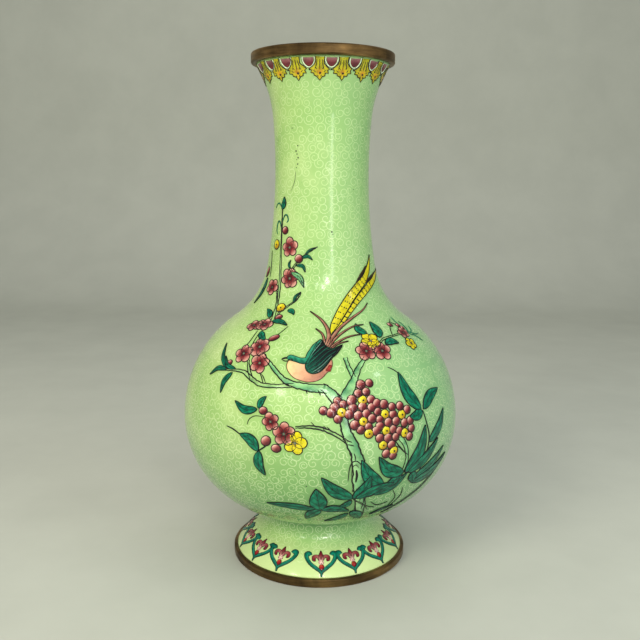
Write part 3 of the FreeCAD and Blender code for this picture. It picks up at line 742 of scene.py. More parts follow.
def blossom(azimuth, height, radius, petals, first, squash=1.0, turn=0.0, kind="red"):
    """A flower of round petals around a grey-green eye with dark stamens."""
    pen = Pen(BODY, azimuth, height, turn)
    target, colours, dark = FLOWERS[kind]

    def toward(angle):
        return np.array([math.cos(angle), math.sin(angle) * squash]) * radius

    for i in range(petals):
        axis = math.radians(first + 360 * i / petals + chance.uniform(-8, 8))
        size = radius * chance.uniform(0.44, 0.52)
        centre = toward(axis) * chance.uniform(0.52, 0.58)
        petal(target, pen, centre, size, axis, colours, 0.15 + 0.008 * i, dark)
    eye = ring_of(radius * 0.14, 10, squash)
    dome(hearts_of_flowers, pen, eye, (0, 0), from_middle((0.46, 0.50, 0.38), (0.28, 0.30, 0.26)), 0.30, 0.08)
    for i in range(6):
        angle = math.radians(first + 30 + 60 * i + chance.uniform(-12, 12))
        stroke(ink, pen, [toward(angle) * 0.15, toward(angle) * 0.34], 0.24, dark, 0.36)


def bead(azimuth, height, radius, kind, layer=0, squash=1.0, turn=0.0):
    """A berry or bud lit from its upper left, with a dark rim at its lower right."""
    pen = Pen(BODY, azimuth, height)
    outline = ring_of(radius, 14, squash, turn)
    target, dark, colours = BEADS[kind]

    def paint(ring, angle):
        return blend(0.42 + 0.8 * ring * np.cos(angle - BEAD_LIGHT), *colours)

    lift = 0.18 + 0.006 * (layer % 12)
    dome(target, pen, outline, (0, 0), paint, lift, 0.30, (0.3, 0.55, 0.8, 1.0))
    angle = np.arctan2(outline[:, 1], outline[:, 0])
    width = 0.36 + 0.30 * (0.5 - 0.5 * np.cos(angle - BEAD_LIGHT))
    stroke(ink, pen, outline, width, dark, lift + 0.10, closed=True)
    if kind == "yellow":
        dot(pen, 0.25, -0.15, 0.55, 8, 0.06, lift + 0.34, 0.02)


# Leaves lie at three levels in turn, so that crossing leaves stay apart.
LEAF_LIFT = 0.34
LEAF_LEVEL = 0.13
leaf_number = itertools.count(1)


def leaf(base, tip, width, bend, veins, target=leaves, colours=LEAF_TONES):
    """A pointed leaf between two places: streaked green, dark edge, rib and side veins."""
    pen = Pen(BODY, (base[0] + tip[0]) / 2, (base[1] + tip[1]) / 2)
    start, end = pen.local(*base), pen.local(*tip)
    along = end - start
    span = float(np.hypot(*along))
    normal = np.array([-along[1], along[0]]) / span
    route = smooth_path([start, (start + end) / 2 + normal * bend * span, end], 8)
    u = np.linspace(0, 1, len(route))
    shape = np.sin(math.pi * u ** 0.85) ** 0.8 * (1 - 0.25 * u)
    half = 0.56 * width * shape / shape.max()
    phase = chance.uniform(0, 6)

    def paint(along_u, v):
        streak = 0.5 * np.sin(along_u * 17 + np.abs(v) * 5 + phase) * np.abs(v)
        return blend(0.45 + streak + 0.35 * (v > 0) * (1 - np.abs(v)), *colours)

    lift = LEAF_LIFT + LEAF_LEVEL * (next(leaf_number) % 3)
    blade(target, pen, route, half, paint, lift, 0.04)
    side = sideways(route)
    edges(pen, route, half, 0.30 + 0.02 * width, BLACK_GREEN, lift + 0.06)
    stroke(ink, pen, route[1:-1], tapered(len(route) - 2, 0.26), BLACK_GREEN, lift + 0.10)
    for i in range(veins):
        place = int((i + 1.2) / (veins + 1.6) * len(route))
        ahead = min(place + 3, len(route) - 1)
        for hand in (1, -1):
            tip_of_vein = route[ahead] + side[ahead] * half[ahead] * 0.72 * hand
            stroke(ink, pen, [route[place], tip_of_vein], 0.18, BLACK_GREEN, lift + 0.09)


def sprig_leaf(base, tip, width, bend, veins, colours=LEAF_TONES):
    leaf(base, tip, width, bend, veins, sprigs, colours)


LIMB_WOBBLE = 0.16


def limb(places, halves, edge, colours=BRANCH_TONES, target=stems):
    """A branch: pale green fill between two broken dark lines."""
    pen = Pen(BODY, *places[len(places) // 2])
    route = smooth_path([pen.local(*place) for place in places], 6)
    half = spread(halves, route) * (1 + np.array([chance.uniform(-0.1, 0.1) for _ in route]))
    phase = chance.uniform(0, 6)

    def paint(along_u, v):
        return blend(0.55 - 0.4 * v + 0.18 * np.sin(along_u * 23 + phase), *colours)

    blade(target, pen, route, half, paint, 0.10, 0.05)
    side = sideways(route)
    for hand in (1, -1):
        shake = np.array([chance.uniform(-LIMB_WOBBLE, LIMB_WOBBLE) for _ in route])
        line = route + side * (half * hand + shake)[:, None]
        stroke(ink, pen, line, tapered(len(line), edge, 0.5), INK, INK_LIFT)


def twig(places, halves, edge=0.42):
    limb(places, halves, edge, TWIG_TONES, twigs)


# ---------------------------------------------------------------------------
# Borders at the mouth and the foot
# ---------------------------------------------------------------------------

LAPPET_STEP = 20.0
LAPPET_HEIGHT = 292.4


def lappet(azimuth):
    """Yellow lappet that widens to three pointed lobes."""
    pen = Pen(BODY, azimuth, LAPPET_HEIGHT, chance.uniform(-3, 3))
    right = [(2.7, 6.6), (2.3, 4.4), (2.6, 2.8), (4.0, 1.4), (5.6, 0.0), (4.4, -0.8), (4.9, -2.3),
             (3.1, -2.4), (2.8, -3.8), (1.3, -4.1)]
    outline = np.array(right + [(0, -6.2)] + [(-x, y) for x, y in reversed(right)])
    outline = outline + np.array([[chance.uniform(-0.2, 0.2), chance.uniform(-0.2, 0.2)] for _ in outline])
    middle = (0.0, -0.6)

    def paint(ring, angle):
        low = 0.5 - 0.5 * np.sin(angle)
        return blend(0.1 + 0.95 * low * (0.98 - ring),
                     (0.64, 0.64, 0.05), (0.75, 0.70, 0.05), (0.78, 0.55, 0.06), ORANGE)

    dome(lappets, pen, outline, middle, paint, 0.16, 0.08)
    dark = (0.20, 0.14, 0.04)
    stroke(ink, pen, outline, 0.46, dark, 0.26)
    for x in (-1.5, 0.0, 1.4):
        points = [(x, 5.2), (x * 1.2, 2.4), (x * 1.7, -0.4)]
        brush(pen, points, 0.38, dark, 0.32, 3)
    for x, y in ((-3.3, -0.9), (3.2, -0.8), (-2.1, 0.6), (2.0, 0.7), (-1.0, -3.4), (1.0, -3.3)):
        stroke(ink, pen, [(x, y), (x * 0.7, y - 0.9)], 0.3, dark, 0.32)
    dot(pen, 0.3, -2.3, 0.62, 8, 0.07, 0.31, 0.03)


def half_round(azimuth):
    """Maroon half-round under the band, ringed in white, with a dark bead below it."""
    pen = Pen(BODY, azimuth, LAPPET_HEIGHT + 2.9, chance.uniform(-3, 3))
    curve = [(-2.9, 3.0), (-2.8, 0.9), (-1.7, -1.1), (0, -2.0), (1.7, -1.1), (2.8, 0.9), (2.9, 3.0)]
    outline = smooth_path(curve, 3)
    centre = (0.0, 0.8)

    def paint(ring, angle):
        return blend(0.5 - 0.5 * np.sin(angle) * ring,
                     (0.66, 0.60, 0.56), (0.52, 0.30, 0.31), (0.38, 0.07, 0.11), (0.42, 0.12, 0.15))

    dome(half_rounds, pen, outline, centre, paint, 0.15, 0.06)
    stroke(pale_lines, pen, outline * 1.17 + np.array([0, -0.1]), 0.55, PALE, 0.24)
    stroke(ink, pen, outline * 1.32 + np.array([0, -0.2]), 0.24, (0.25, 0.32, 0.22), 0.2)
    dot(pen, 0, -3.6, 0.5, 8, 0.08, 0.2, 0.04)


HEART_HEIGHT = 12.6
HEART_AZIMUTHS = [1.6, 25.2, 48.4, 72.7] + [72.7 + 23.7 * i for i in range(1, 9)] + [286.3, 308.6, 330.7]


def heart(azimuth):
    """Teal heart, open at the top, around a palmette and a red drop."""
    lean = chance.uniform(-2, 2)
    pen = Pen(FOOT, azimuth, HEART_HEIGHT, lean)
    arm = [(0, -9.0), (0.35, -6.4), (3.0, -4.1), (6.2, -1.6), (8.2, 1.4), (8.4, 4.0), (6.8, 4.9), (5.9, 3.6)]
    halves = [0.3, 0.7, 1.0, 1.0, 1.1, 1.3, 1.25, 0.95]
    for hand in (1, -1):
        size = chance.uniform(0.95, 1.03)
        route = smooth_path(np.array(arm) * np.array([hand * size, 1.0]), 4)
        half = spread(halves, route)

        def paint(along_u, v):
            return blend(0.5 + 0.45 * v * hand, (0.01, 0.30, 0.25), (0.03, 0.43, 0.34), (0.16, 0.58, 0.46))

        blade(hearts, pen, route, half, paint, 0.16, 0.12)
        edges(pen, route, half, 0.26, BLACK_GREEN, 0.26)
        lobe = np.array([(0.4, 0.6), (2.0, 2.9), (4.0, 2.6), (4.3, 0.9), (3.1, 0.6)])
        lobe = smooth_path(lobe * np.array([hand, 1]), 3)
        lobe_half = spread([0.9, 1.1, 0.9, 0.5], lobe, [0, 0.5, 0.8, 1])
        lobe_paint = from_base((0.72, 0.50, 0.46), (0.52, 0.20, 0.22), (0.38, 0.06, 0.12))
        blade(palmettes, pen, lobe, lobe_half, lobe_paint, 0.17, 0.08)
        edges(pen, lobe, lobe_half, 0.22, WINE_INK, 0.27)
    crest = smooth_path([(0, 0.8), (0, 3.6), (0.1, 6.6)], 4)
    crest_half = spread([1.4, 1.6, 0.15], crest, [0, 0.4, 1])
    crest_paint = from_base((0.74, 0.52, 0.48), (0.48, 0.16, 0.20), (0.34, 0.05, 0.12))
    blade(palmettes, pen, crest, crest_half, crest_paint, 0.18, 0.08)
    edges(pen, crest, crest_half, 0.24, WINE_INK, 0.28)
    waist = smooth_path([(-1.7, -0.8), (0, 1.6), (1.7, -0.8), (0.2, -2.4)], 4, closed=True)
    dome(palmettes, pen, waist, (0, -0.4), from_middle((0.93, 0.80, 0.72), (0.84, 0.64, 0.60)), 0.19, 0.08)
    for x, y in ((-0.7, 0.0), (0.8, -0.2), (0.0, 1.8), (0.1, -1.3), (-1.2, -1.0), (1.3, -1.1)):
        dot(pen, x, y, 0.27, 6, 0.08, 0.3, 0.02)

    def drop_paint(ring, angle):
        tone = 0.5 + 0.5 * ring * np.cos(angle - 2.2)
        return blend(tone, (0.38, 0.04, 0.06), (0.60, 0.09, 0.08), (0.78, 0.32, 0.18))

    drop = ring_of(1.5, 12, 1.15) + np.array([0.2, -3.6])
    dome(drops, pen, drop, (0.2, -3.6), drop_paint, 0.18, 0.14)
    stroke(ink, pen, drop, 0.24, WINE_INK, 0.26, closed=True)


for i in range(int(round(360 / LAPPET_STEP))):
    lappet(-2.5 + LAPPET_STEP * i + chance.uniform(-1, 1))
    half_round(7.8 + LAPPET_STEP * i + chance.uniform(-1, 1))
for azimuth in HEART_AZIMUTHS:
    heart(azimuth)


# ---------------------------------------------------------------------------
# The picture: a bird on an old branch, with blossoms, berries and bamboo-like leaves
# ---------------------------------------------------------------------------

# Trunk, the perch that runs to the left and the limb to the upper right.
TRUNK = [(1, 126), (5, 121.5), (7.8, 115), (8.8, 109), (9.7, 103), (11.5, 97.5), (13, 92), (14.4, 84),
         (14.8, 76), (16, 67), (17.8, 57), (20, 45)]
TRUNK_HALVES = [2.0, 2.9, 2.3, 2.1, 2.5, 2.8, 2.9, 3.5, 3.6, 3.2, 2.5, 2.0]
limb(TRUNK, TRUNK_HALVES, 0.7)
limb([(3, 125), (-3, 125.4), (-9, 126.4), (-14, 128), (-18, 131), (-23, 135.5), (-28, 139)],
     [2.4, 2.1, 1.7, 1.5, 1.1, 0.9, 0.7], 0.6)
limb([(-11, 126.4), (-18, 125.4), (-25, 125.3), (-30, 127.5), (-35, 130), (-40, 130), (-46, 129)],
     [1.1, 0.9, 1.0, 1.2, 0.9, 0.6, 0.4], 0.55, TWIG_TONES)
limb([(-30, 127.5), (-33, 132), (-35, 136)], [0.9, 0.7, 0.5], 0.5, TWIG_TONES)
limb([(8.5, 119), (12, 125), (14.3, 129.5), (17, 134.5), (21.5, 139)], [2.7, 2.3, 1.8, 1.3, 0.9], 0.5)
limb([(14, 130), (12.4, 135), (11.4, 139.5)], [1.2, 1.0, 1.0], 0.45)
limb([(10, 98), (6, 102), (1, 105.3), (-4, 106.3), (-9, 105.8)], [1.0, 0.8, 0.7, 0.6, 0.4], 0.65, TWIG_TONES)
limb([(31, 97.5), (33.5, 92), (34.5, 84), (33, 76)], [1.3, 1.1, 0.9, 0.8], 0.4)
limb([(58, 72), (50, 61), (42, 54), (33, 47)], [0.5, 0.9, 0.9, 0.5], 0.5)

# Split in the bark and short ticks along its shaded side.
wall_brush([(10.6, 76), (10.8, 83), (11.8, 87), (13.6, 87.5), (15.2, 85), (15.9, 82)], 0.5)
wall_brush([(11.6, 79), (12.0, 84), (13.2, 85.5), (14.4, 83.5)], 0.3)
wall_brush([(13.4, 82.5), (13.8, 79), (13.6, 75)], 1.2)
for start, end in (((9.6, 99), (11.6, 98)), ((9.9, 97), (12.4, 96)), ((10.8, 93.5), (11.6, 90)),
                   ((12.3, 92), (12.9, 88)), ((7.2, 107), (7.9, 104)), ((2.2, 122), (4.4, 118)),
                   ((16.4, 71), (16.6, 62)), ((18.0, 66), (18.6, 55)), ((14.2, 66), (16.0, 50)),
                   ((4.8, 125), (8.6, 120.5)), ((1.2, 127.6), (3.2, 126.4)), ((-1, 124.4), (0, 121.9)),
                   ((-6, 124.4), (-5.2, 122.6)), ((12.9, 74), (12.7, 69)), ((17.6, 84), (18.1, 76))):
    wall_brush([start, ((start[0] + end[0]) / 2 + 0.2, (start[1] + end[1]) / 2), end], 0.5)
for azimuth, height in ((1.6, 104.6), (2.6, 104.8), (3.8, 104.3), (-2.0, 106.6)):
    wall_brush([(azimuth, height), (azimuth - 0.6, height + 1.2), (azimuth - 1.4, height + 2.2)], 0.34)
for start, end in (((-27, 131), (-24, 126)), ((-26, 130.5), (-23, 126.4)), ((-15, 127), (-12, 125.6))):
    wall_brush([start, ((start[0] + end[0]) / 2, (start[1] + end[1]) / 2 + 0.4), end], 0.42)

# Neck sprig: the long stem, its curls and tip.
twig([(-34, 153), (-38, 163), (-41, 170), (-45, 179), (-48, 190)], [0.8, 0.7, 0.75, 0.6, 0.5])
twig([(-48, 190), (-50, 200), (-51, 209), (-52, 217)], [0.45, 0.35, 0.3, 0.25])
wall_brush([(-52, 217), (-58, 219.5), (-63, 219.5), (-68, 217)], 0.7, TEAL)
wall_brush([(-50.5, 209), (-47, 213), (-43, 213), (-41, 210.5), (-43, 209)], 0.75, TEAL)
wall_brush([(-51, 205), (-55, 209), (-59, 209), (-61, 205), (-59, 202)], 0.75, TEAL)
sprig_leaf((-52, 216.5), (-49, 223.5), 3.0, -0.1, 1)
twig([(-34, 178), (-29, 184), (-22, 189), (-13, 193), (-4, 196)], [0.5, 0.45, 0.35, 0.25, 0.15])
sprig_leaf((-17, 191), (-6, 195.6), 1.0, 0.1, 0)
sprig_leaf((-20, 189.5), (-9, 188.5), 1.5, 0.25, 0)
sprig_leaf((-26, 185), (-16, 181.5), 1.6, 0.3, 0)
sprig_leaf((-31, 181), (-16, 173), 2.6, 0.16, 2, (LEAF_LIGHT, CELADON, CELADON))
sprig_leaf((-33, 183), (-33, 188), 1.2, 0.2, 0)
sprig_leaf((-66, 176), (-69, 161), 2.6, 0.05, 2)
wall_brush([(-62, 177), (-64, 184), (-68, 192)], 0.35)
twig([(-38, 163), (-41, 167), (-44, 170)], [0.5, 0.4, 0.3])
twig([(-33, 157), (-32, 160), (-31, 163)], [0.4, 0.35, 0.3])
twig([(-31, 160), (-26, 163.5), (-21, 166), (-18, 170)], [0.4, 0.35, 0.3, 0.15], 0.4)
sprig_leaf((-23, 164.5), (-18, 170.5), 1.2, 0.16, 0)
sprig_leaf((-26, 160.5), (-20, 158.6), 2.4, 0.22, 1)
sprig_leaf((-38, 156), (-45, 160), 3.0, -0.1, 1)
sprig_leaf((-34, 154.5), (-22, 153.4), 2.6, 0.12, 2)
sprig_leaf((-37, 149.5), (-31, 146), 3.4, -0.1, 1)
wall_brush([(-27, 147), (-24, 150), (-21, 153)], 0.3)
wall_brush([(-40, 149.5), (-40, 145), (-41, 141)], 0.36)
wall_brush([(-37.6, 149), (-37.4, 144), (-37, 142)], 0.36)
wall_brush([(-35, 148), (-34.4, 145), (-34, 143.5)], 0.36)

# Sprigs at the far left.
sprig_leaf((-46, 130), (-56, 141), 2.2, 0.1, 1)
sprig_leaf((-45, 129.4), (-55, 124.5), 2.4, -0.16, 1)
sprig_leaf((-41, 128.6), (-44, 117.5), 3.0, -0.14, 2)
sprig_leaf((-40, 130.6), (-50, 135.4), 2.2, 0.16, 1)

# Lower left spray: leaves, a tendril and their flowers.
sprig_leaf((-24.5, 113), (-35, 115.4), 3.8, 0.16, 2)
sprig_leaf((-24, 113.6), (-21.5, 120), 3.0, 0.1, 1)
sprig_leaf((-23, 91.4), (-31, 99), 5.2, -0.14, 3)
wall_brush([(-30, 98), (-34, 100.5), (-37.5, 101.5)], 0.6, BLACK_GREEN)
sprig_leaf((-22.6, 91.4), (-20.6, 78), 4.8, -0.14, 3)
wall_brush([(-20.6, 109.6), (-25, 109.6), (-27.4, 107.4), (-28, 104.6)], 0.36)
wall_brush([(-19.4, 95.4), (-21, 93.4), (-23.4, 91)], 0.7, BLACK_GREEN)

# Fronds at the right, and the dark leaves at the foot of the tree.
for row in (
        ((42.6, 109.6), (35.4, 130.5), 6.6, 0.12, 4), ((44, 109.6), (57, 117.6), 5.6, 0.1, 3),
        ((43, 109), (36, 107.6), 5.0, 0.1, 2), ((46, 90.6), (58, 106), 5.6, -0.08, 3),
        ((34.4, 76.4), (44, 101), 7.2, -0.1, 4), ((36, 76), (52, 91), 5.8, -0.06, 3),
        ((40, 71), (58, 84), 5.6, -0.06, 2), ((40, 68), (62, 78), 6.0, -0.08, 3),
        ((33.6, 77), (22, 88.6), 6.8, 0.16, 4), ((25.4, 70.4), (15.2, 88), 7.0, 0.1, 4),
        ((26.6, 70), (33.4, 77), 4.6, -0.05, 3), ((38, 75), (40, 68), 5.4, 0.1, 3),
        ((13.4, 64.4), (0.6, 78.6), 6.8, 0.08, 4), ((13.4, 64.6), (19.4, 78), 6.2, -0.1, 3),
        ((14.4, 64.4), (30, 71.6), 5.2, 0.06, 3), ((22, 65.4), (36, 76), 5.0, -0.08, 3),
        ((13, 63), (7.6, 58), 3.4, 0.1, 1), ((0.2, 56.8), (-1.4, 71.6), 8.4, 0.0, 3),
        ((-0.6, 56.8), (-23, 58.6), 4.4, -0.04, 3), ((0.6, 56.8), (-6.6, 48), 5.4, -0.1, 2),
        ((0.8, 57.0), (13, 55), 4.8, 0.12, 3), ((13, 52.6), (2.6, 45.6), 3.6, 0.06, 2),
        ((14, 54), (20.4, 46), 5.6, 0.1, 2), ((25, 49), (36, 53.4), 1.6, 0.06, 0)):
    leaf(*row)
wall_brush([(43.6, 109), (45, 101.5), (46.2, 94.5), (45.6, 87), (44, 79), (42, 72)], 0.7, BLACK_GREEN)
wall_brush([(35.4, 130), (33.4, 132), (31, 133.4)], 0.4, BLACK_GREEN)
wall_brush([(28.6, 96.4), (31.6, 91), (34.6, 87)], 0.7)
wall_brush([(28.8, 93.6), (31.4, 91.4)], 0.4)
for start, bend, end in (((13.6, 63.6), (18, 60), (22, 54)), ((14, 63), (20, 57.6), (25, 55)),
                         ((31, 66), (34, 60), (33, 54)), ((36, 66), (37, 60), (34, 52)),
                         ((22, 60), (26, 56.4), (31, 57.4)), ((27, 70), (22, 65), (18, 64))):
    wall_brush([start, bend, end], 0.4)

# The bird: salmon breast, teal cap and back, black wing, brown plumes and a long yellow tail.
bird = Pen(BODY, -7, 135)
breast = smooth_path([(-9.0, 3.4), (-9.9, 1.0), (-9.0, -2.4), (-5.8, -5.8), (-1.9, -7.4), (2.2, -8.2),
                      (6.2, -7.7), (9.6, -6.0), (12.0, -3.0), (14.2, -1.0), (14.4, 4.0), (11.0, 6.2),
                      (4.0, 4.6), (-2.0, 4.4), (-7.0, 4.4)], 3, closed=True)


def breast_paint(ring, angle):
    warm = 0.5 + 0.5 * ring * np.cos(angle - 2.7)
    return blend(warm, (0.62, 0.40, 0.32), (0.76, 0.55, 0.43), (0.85, 0.66, 0.50), (0.93, 0.82, 0.56))


dome(bird_coat, bird, breast, (2.0, -1.2), breast_paint, 0.19, 0.26, (0.25, 0.5, 0.75, 0.92, 1.0))
stroke(ink, bird, breast, 0.3, (0.30, 0.17, 0.12), 0.27, closed=True)
rump = smooth_path([(11.2, -1.8), (14.2, -2.2), (13.6, -0.8), (14.8, 0.8), (13.0, 1.6), (12.2, 0.2)],
                   3, closed=True)
dome(bird_coat, bird, rump, (13.0, -0.4), from_middle((0.66, 0.24, 0.18), (0.42, 0.10, 0.08)), 0.34, 0.06)

cap = smooth_path([(-9.8, 4.4), (-8.0, 5.2), (-5.0, 4.4), (-1.8, 3.6), (1.4, 4.2), (3.6, 7.8), (5.4, 13.0),
                   (7.2, 17.6)], 4)
cap_half = spread([0.7, 1.6, 1.5, 2.0, 3.0, 2.4, 0.3], cap, [0, 0.12, 0.35, 0.55, 0.7, 0.85, 1])


def cap_paint(u, v):
    tone = 0.45 + 0.35 * v + 0.25 * np.sin(u * 40 + v * 3) * (1 - np.abs(v))
    return blend(tone, (0.02, 0.26, 0.20), (0.06, 0.46, 0.34), (0.30, 0.66, 0.50))


blade(bird_coat, bird, cap, cap_half, cap_paint, 0.42, 0.10)
edges(bird, cap, cap_half, 0.34, BLACK_GREEN, 0.54)
stroke(ink, bird, smooth_path([(-8.8, 4.6), (-11.0, 4.9), (-13.2, 3.8)], 4), tapered(9, 0.8, 0.2), INK, 0.5)
stroke(ink, bird, smooth_path([(-9.2, 3.2), (-10.8, 3.0), (-12.6, 3.4)], 4), tapered(9, 0.4, 0.3), INK, 0.5)
dot(bird, -7.2, 4.2, 0.5, 8, 0.04, 0.56, 0.1)

wing = smooth_path([(0.6, 2.6), (2.9, 8.0), (4.8, 14.4), (7.2, 17.4), (9.8, 13.6), (14.0, 11.4), (19.2, 13.8),
                    (16.8, 8.4), (13.9, 5.2), (11.6, 1.0), (8.4, -2.6), (4.5, -3.7), (1.5, -2.4), (0.3, 0.3)],
                   3, closed=True)


def wing_paint(ring, angle):
    green = np.clip(0.5 - 0.55 * ring * np.cos(angle - 0.75), 0, 1)
    return blend(green + 0.1 * np.sin(angle * 9), (0.03, 0.05, 0.05), (0.03, 0.13, 0.11), (0.05, 0.36, 0.27))


dome(wing_cells, bird, wing, (6.6, 5.6), wing_paint, 0.48, 0.14, (0.3, 0.6, 0.85, 1.0))
stroke(ink, bird, wing, 0.34, INK, 0.60, closed=True)
quills = [((1.2, -1.6), (6.0, 2.5), (11.5, 9.0), (16.5, 12.0)),
          ((2.6, -2.4), (7.6, 1.4), (12.0, 6.4), (16.0, 9.6)),
          ((4.4, -2.8), (8.6, 0.4), (12.0, 4.4), (14.0, 6.8)),
          ((0.9, 0.4), (4.4, 4.4), (9.2, 9.8), (13.2, 11.4)),
          ((1.2, 2.4), (3.6, 6.4), (7.6, 11.4), (9.6, 13.2)),
          ((2.6, 6.6), (4.4, 10.0), (6.8, 14.0), (7.6, 16.2)),
          ((6.2, -2.6), (9.2, -0.4), (11.4, 2.4), (12.8, 4.6)),
          ((3.0, 3.0), (6.0, 6.4), (9.8, 10.6), (11.6, 12.2))]
QUILL_TONES = ((0.04, 0.34, 0.26), (0.10, 0.42, 0.33), (0.42, 0.60, 0.52))
for number, quill in enumerate(quills):
    path = smooth_path(quill, 5)
    stroke(wing_cells, bird, path, tapered(len(path), 0.3, 0.2), QUILL_TONES[number % 3], 0.70)
    shadow = path + np.array([0.5, -0.35])
    stroke(ink, bird, shadow, tapered(len(shadow), 0.36, 0.2), (0.02, 0.03, 0.03), 0.70)

plumes = [([(10.6, 13.4), (11.2, 20.0), (9.4, 26.4), (5.4, 32.4), (-0.8, 37.4)], 1.5),
          ([(9.4, 15.6), (7.4, 21.6), (3.4, 25.6)], 0.7),
          ([(11.2, 12.6), (13.4, 19.4), (17.6, 27.0), (24.0, 33.0), (30.4, 37.4), (33.8, 41.4)], 1.4),
          ([(12.0, 12.6), (14.4, 17.4), (18.8, 22.6), (24.4, 26.6), (30.8, 27.4)], 0.9),
          ([(12.6, 12.0), (17.6, 16.6), (23.0, 19.4), (29.8, 20.4)], 0.7),
          ([(13.0, 11.0), (16.6, 14.4), (22.4, 16.2)], 0.6)]


def plume_paint(u, v):
    return blend(0.5 + 0.4 * v + 0.1 * np.sin(u * 30), (0.36, 0.19, 0.14), PLUME, (0.76, 0.60, 0.48))


for route, width in plumes:
    path = smooth_path(route, 5)
    half = width * (1.0 - np.linspace(0, 1, len(path)) ** 1.6) * 0.72 + 0.12
    blade(plume_cells, bird, path, half, plume_paint, 0.36, 0.10)
    edges(bird, path, half, 0.36, (0.14, 0.07, 0.05), 0.46)

left_feather = ([(11.8, 20.4), (13.8, 29.0), (17.4, 38.0), (21.8, 45.8), (26.9, 51.6), (31.6, 56.0),
                 (35.8, 61.6), (38.2, 69.4)], [0.5, 2.3, 2.9, 2.8, 2.7, 2.7, 1.9, 0.1])
right_feather = ([(12.8, 21.6), (18.0, 30.0), (22.4, 37.8), (26.8, 43.8), (31.8, 48.4), (37.2, 52.2),
                  (43.4, 55.8), (50.8, 60.0)], [0.3, 1.1, 1.4, 1.9, 2.2, 2.3, 2.1, 0.2])


def eye_paint(u, v):
    return blend(np.abs(v), (0.05, 0.05, 0.03), (0.25, 0.20, 0.04))


def feather_paint(u, v):
    tone = 0.62 + 0.3 * np.sin(u * 9) * v + 0.12 * np.sin(u * 37 + 4 * v)
    return blend(tone, (0.50, 0.47, 0.03), (0.74, 0.70, 0.04), (0.85, 0.82, 0.18))


for order, (route, widths) in enumerate((right_feather, left_feather)):
    path = smooth_path(route, 5)
    half = spread(widths, path)
    blade(tail_cells, bird, path, half, feather_paint, 0.20 + 0.05 * order, 0.08)
    side = sideways(path)
    edges(bird, path, half, 0.5, (0.09, 0.08, 0.03), 0.34 + 0.04 * order)
    for row in (-0.5, 0.05, 0.55):
        for place in range(5, len(path) - 9, 2):
            shift = chance.uniform(-0.25, 0.25)
            spot = path[place] + side[place] * half[place] * row + np.array([shift, -shift])
            dot(bird, *spot, 0.42, 6, 0.07, 0.36 + 0.05 * order, 0.03)
for route, width in (([(25.4, 54.0), (28.8, 57.6), (31.6, 60.4), (33.4, 63.4)], 1.3),
                     ([(33.2, 53.6), (37.6, 55.6), (44.4, 58.8)], 1.2)):
    path = smooth_path(route, 4)
    half = width * np.sin(math.pi * np.linspace(0.08, 0.94, len(path)))
    blade(ink, bird, path, half, eye_paint, 0.42, 0.05)

# Blossoms, back layer first: (azimuth, height, radius, petals, first petal, squash, turn, kind).
for row in (
        (-9, 97.6, 5.9, 5, 70, 1.0, 0.0, "yellow"), (27.6, 146.2, 5.5, 5, 110, 1.0, 0.0, "yellow"),
        (-46, 151.4, 4.8, 5, 100, 0.62, 20), (-38.4, 152.6, 5.1, 5, 80, 0.66, 8),
        (-18.6, 107.6, 4.6, 5, 40), (-13.2, 102, 5.9, 5, 20), (22.8, 141.8, 5.5, 5, 160),
        (31.6, 141.2, 5.7, 5, 15), (-28.4, 135.2, 5.5, 5, 300), (-39.4, 138.4, 5.5, 5, 180),
        (-32, 142.6, 5.7, 6, 60), (-36, 195, 5.3, 5, 30), (-32, 177.6, 5.5, 6, 80),
        (-52, 171.6, 4.8, 5, 60, 0.9), (54, 142, 4.2, 5, 250, 0.8, 0.0, "yellow"),
        (55, 147.4, 4.4, 5, 90, 0.7)):
    blossom(*row)

for azimuth, height, radius, squash, turn in (
        (-22, 112.8, 2.4, 0.85, 0), (-20, 97.4, 2.9, 0.9, 40), (-16, 94.0, 2.7, 0.8, 0),
        (-45.4, 132.6, 2.2, 0.8, 50), (-26.4, 147.4, 3.2, 0.55, 35), (-31, 156.8, 2.2, 0.75, 30),
        (-24, 189, 2.4, 1.0, 0), (-44.6, 204.6, 2.2, 1.0, 0), (49.6, 152, 1.9, 0.75, 150),
        (56.6, 151, 1.8, 0.75, 150), (-70, 179.4, 3.2, 0.5, 75), (58.4, 149.4, 1.6, 0.75, 120)):
    bead(azimuth, height, radius, "bud", 0, squash, turn)
bead(-33, 161.6, 3.0, "yellow", 0, 0.9, 10)
bead(-58, 196, 2.8, "yellow")

twig([(31, 144), (36, 146.4), (43, 147), (51, 147.4)], [0.6, 0.5, 0.5, 0.4])
wall_brush([(44, 147), (46, 149.6), (50.6, 152.6), (55, 154.4)], 0.36)
wall_brush([(52, 153.4), (54, 152), (56, 151)], 0.3)
for row in (
        ((27.4, 149.6), (23.2, 154.4), 4.2, 0.2, 2), ((34.4, 147.2), (34.4, 154.6), 5.2, -0.1, 2),
        ((35.6, 144.2), (44.6, 143.4), 4.0, 0.16, 2)):
    leaf(*row)
for places in (
        [(60, 146.6), (62, 149), (62, 152.4)], [(60, 146), (65, 147), (67.4, 149)],
        [(60, 145.6), (64, 144.6), (68, 141)], [(61, 147), (66, 145), (71, 144.6)],
        [(60.4, 146), (58.6, 150), (57.6, 155)]):
    wall_brush(places, 0.6, TEAL)

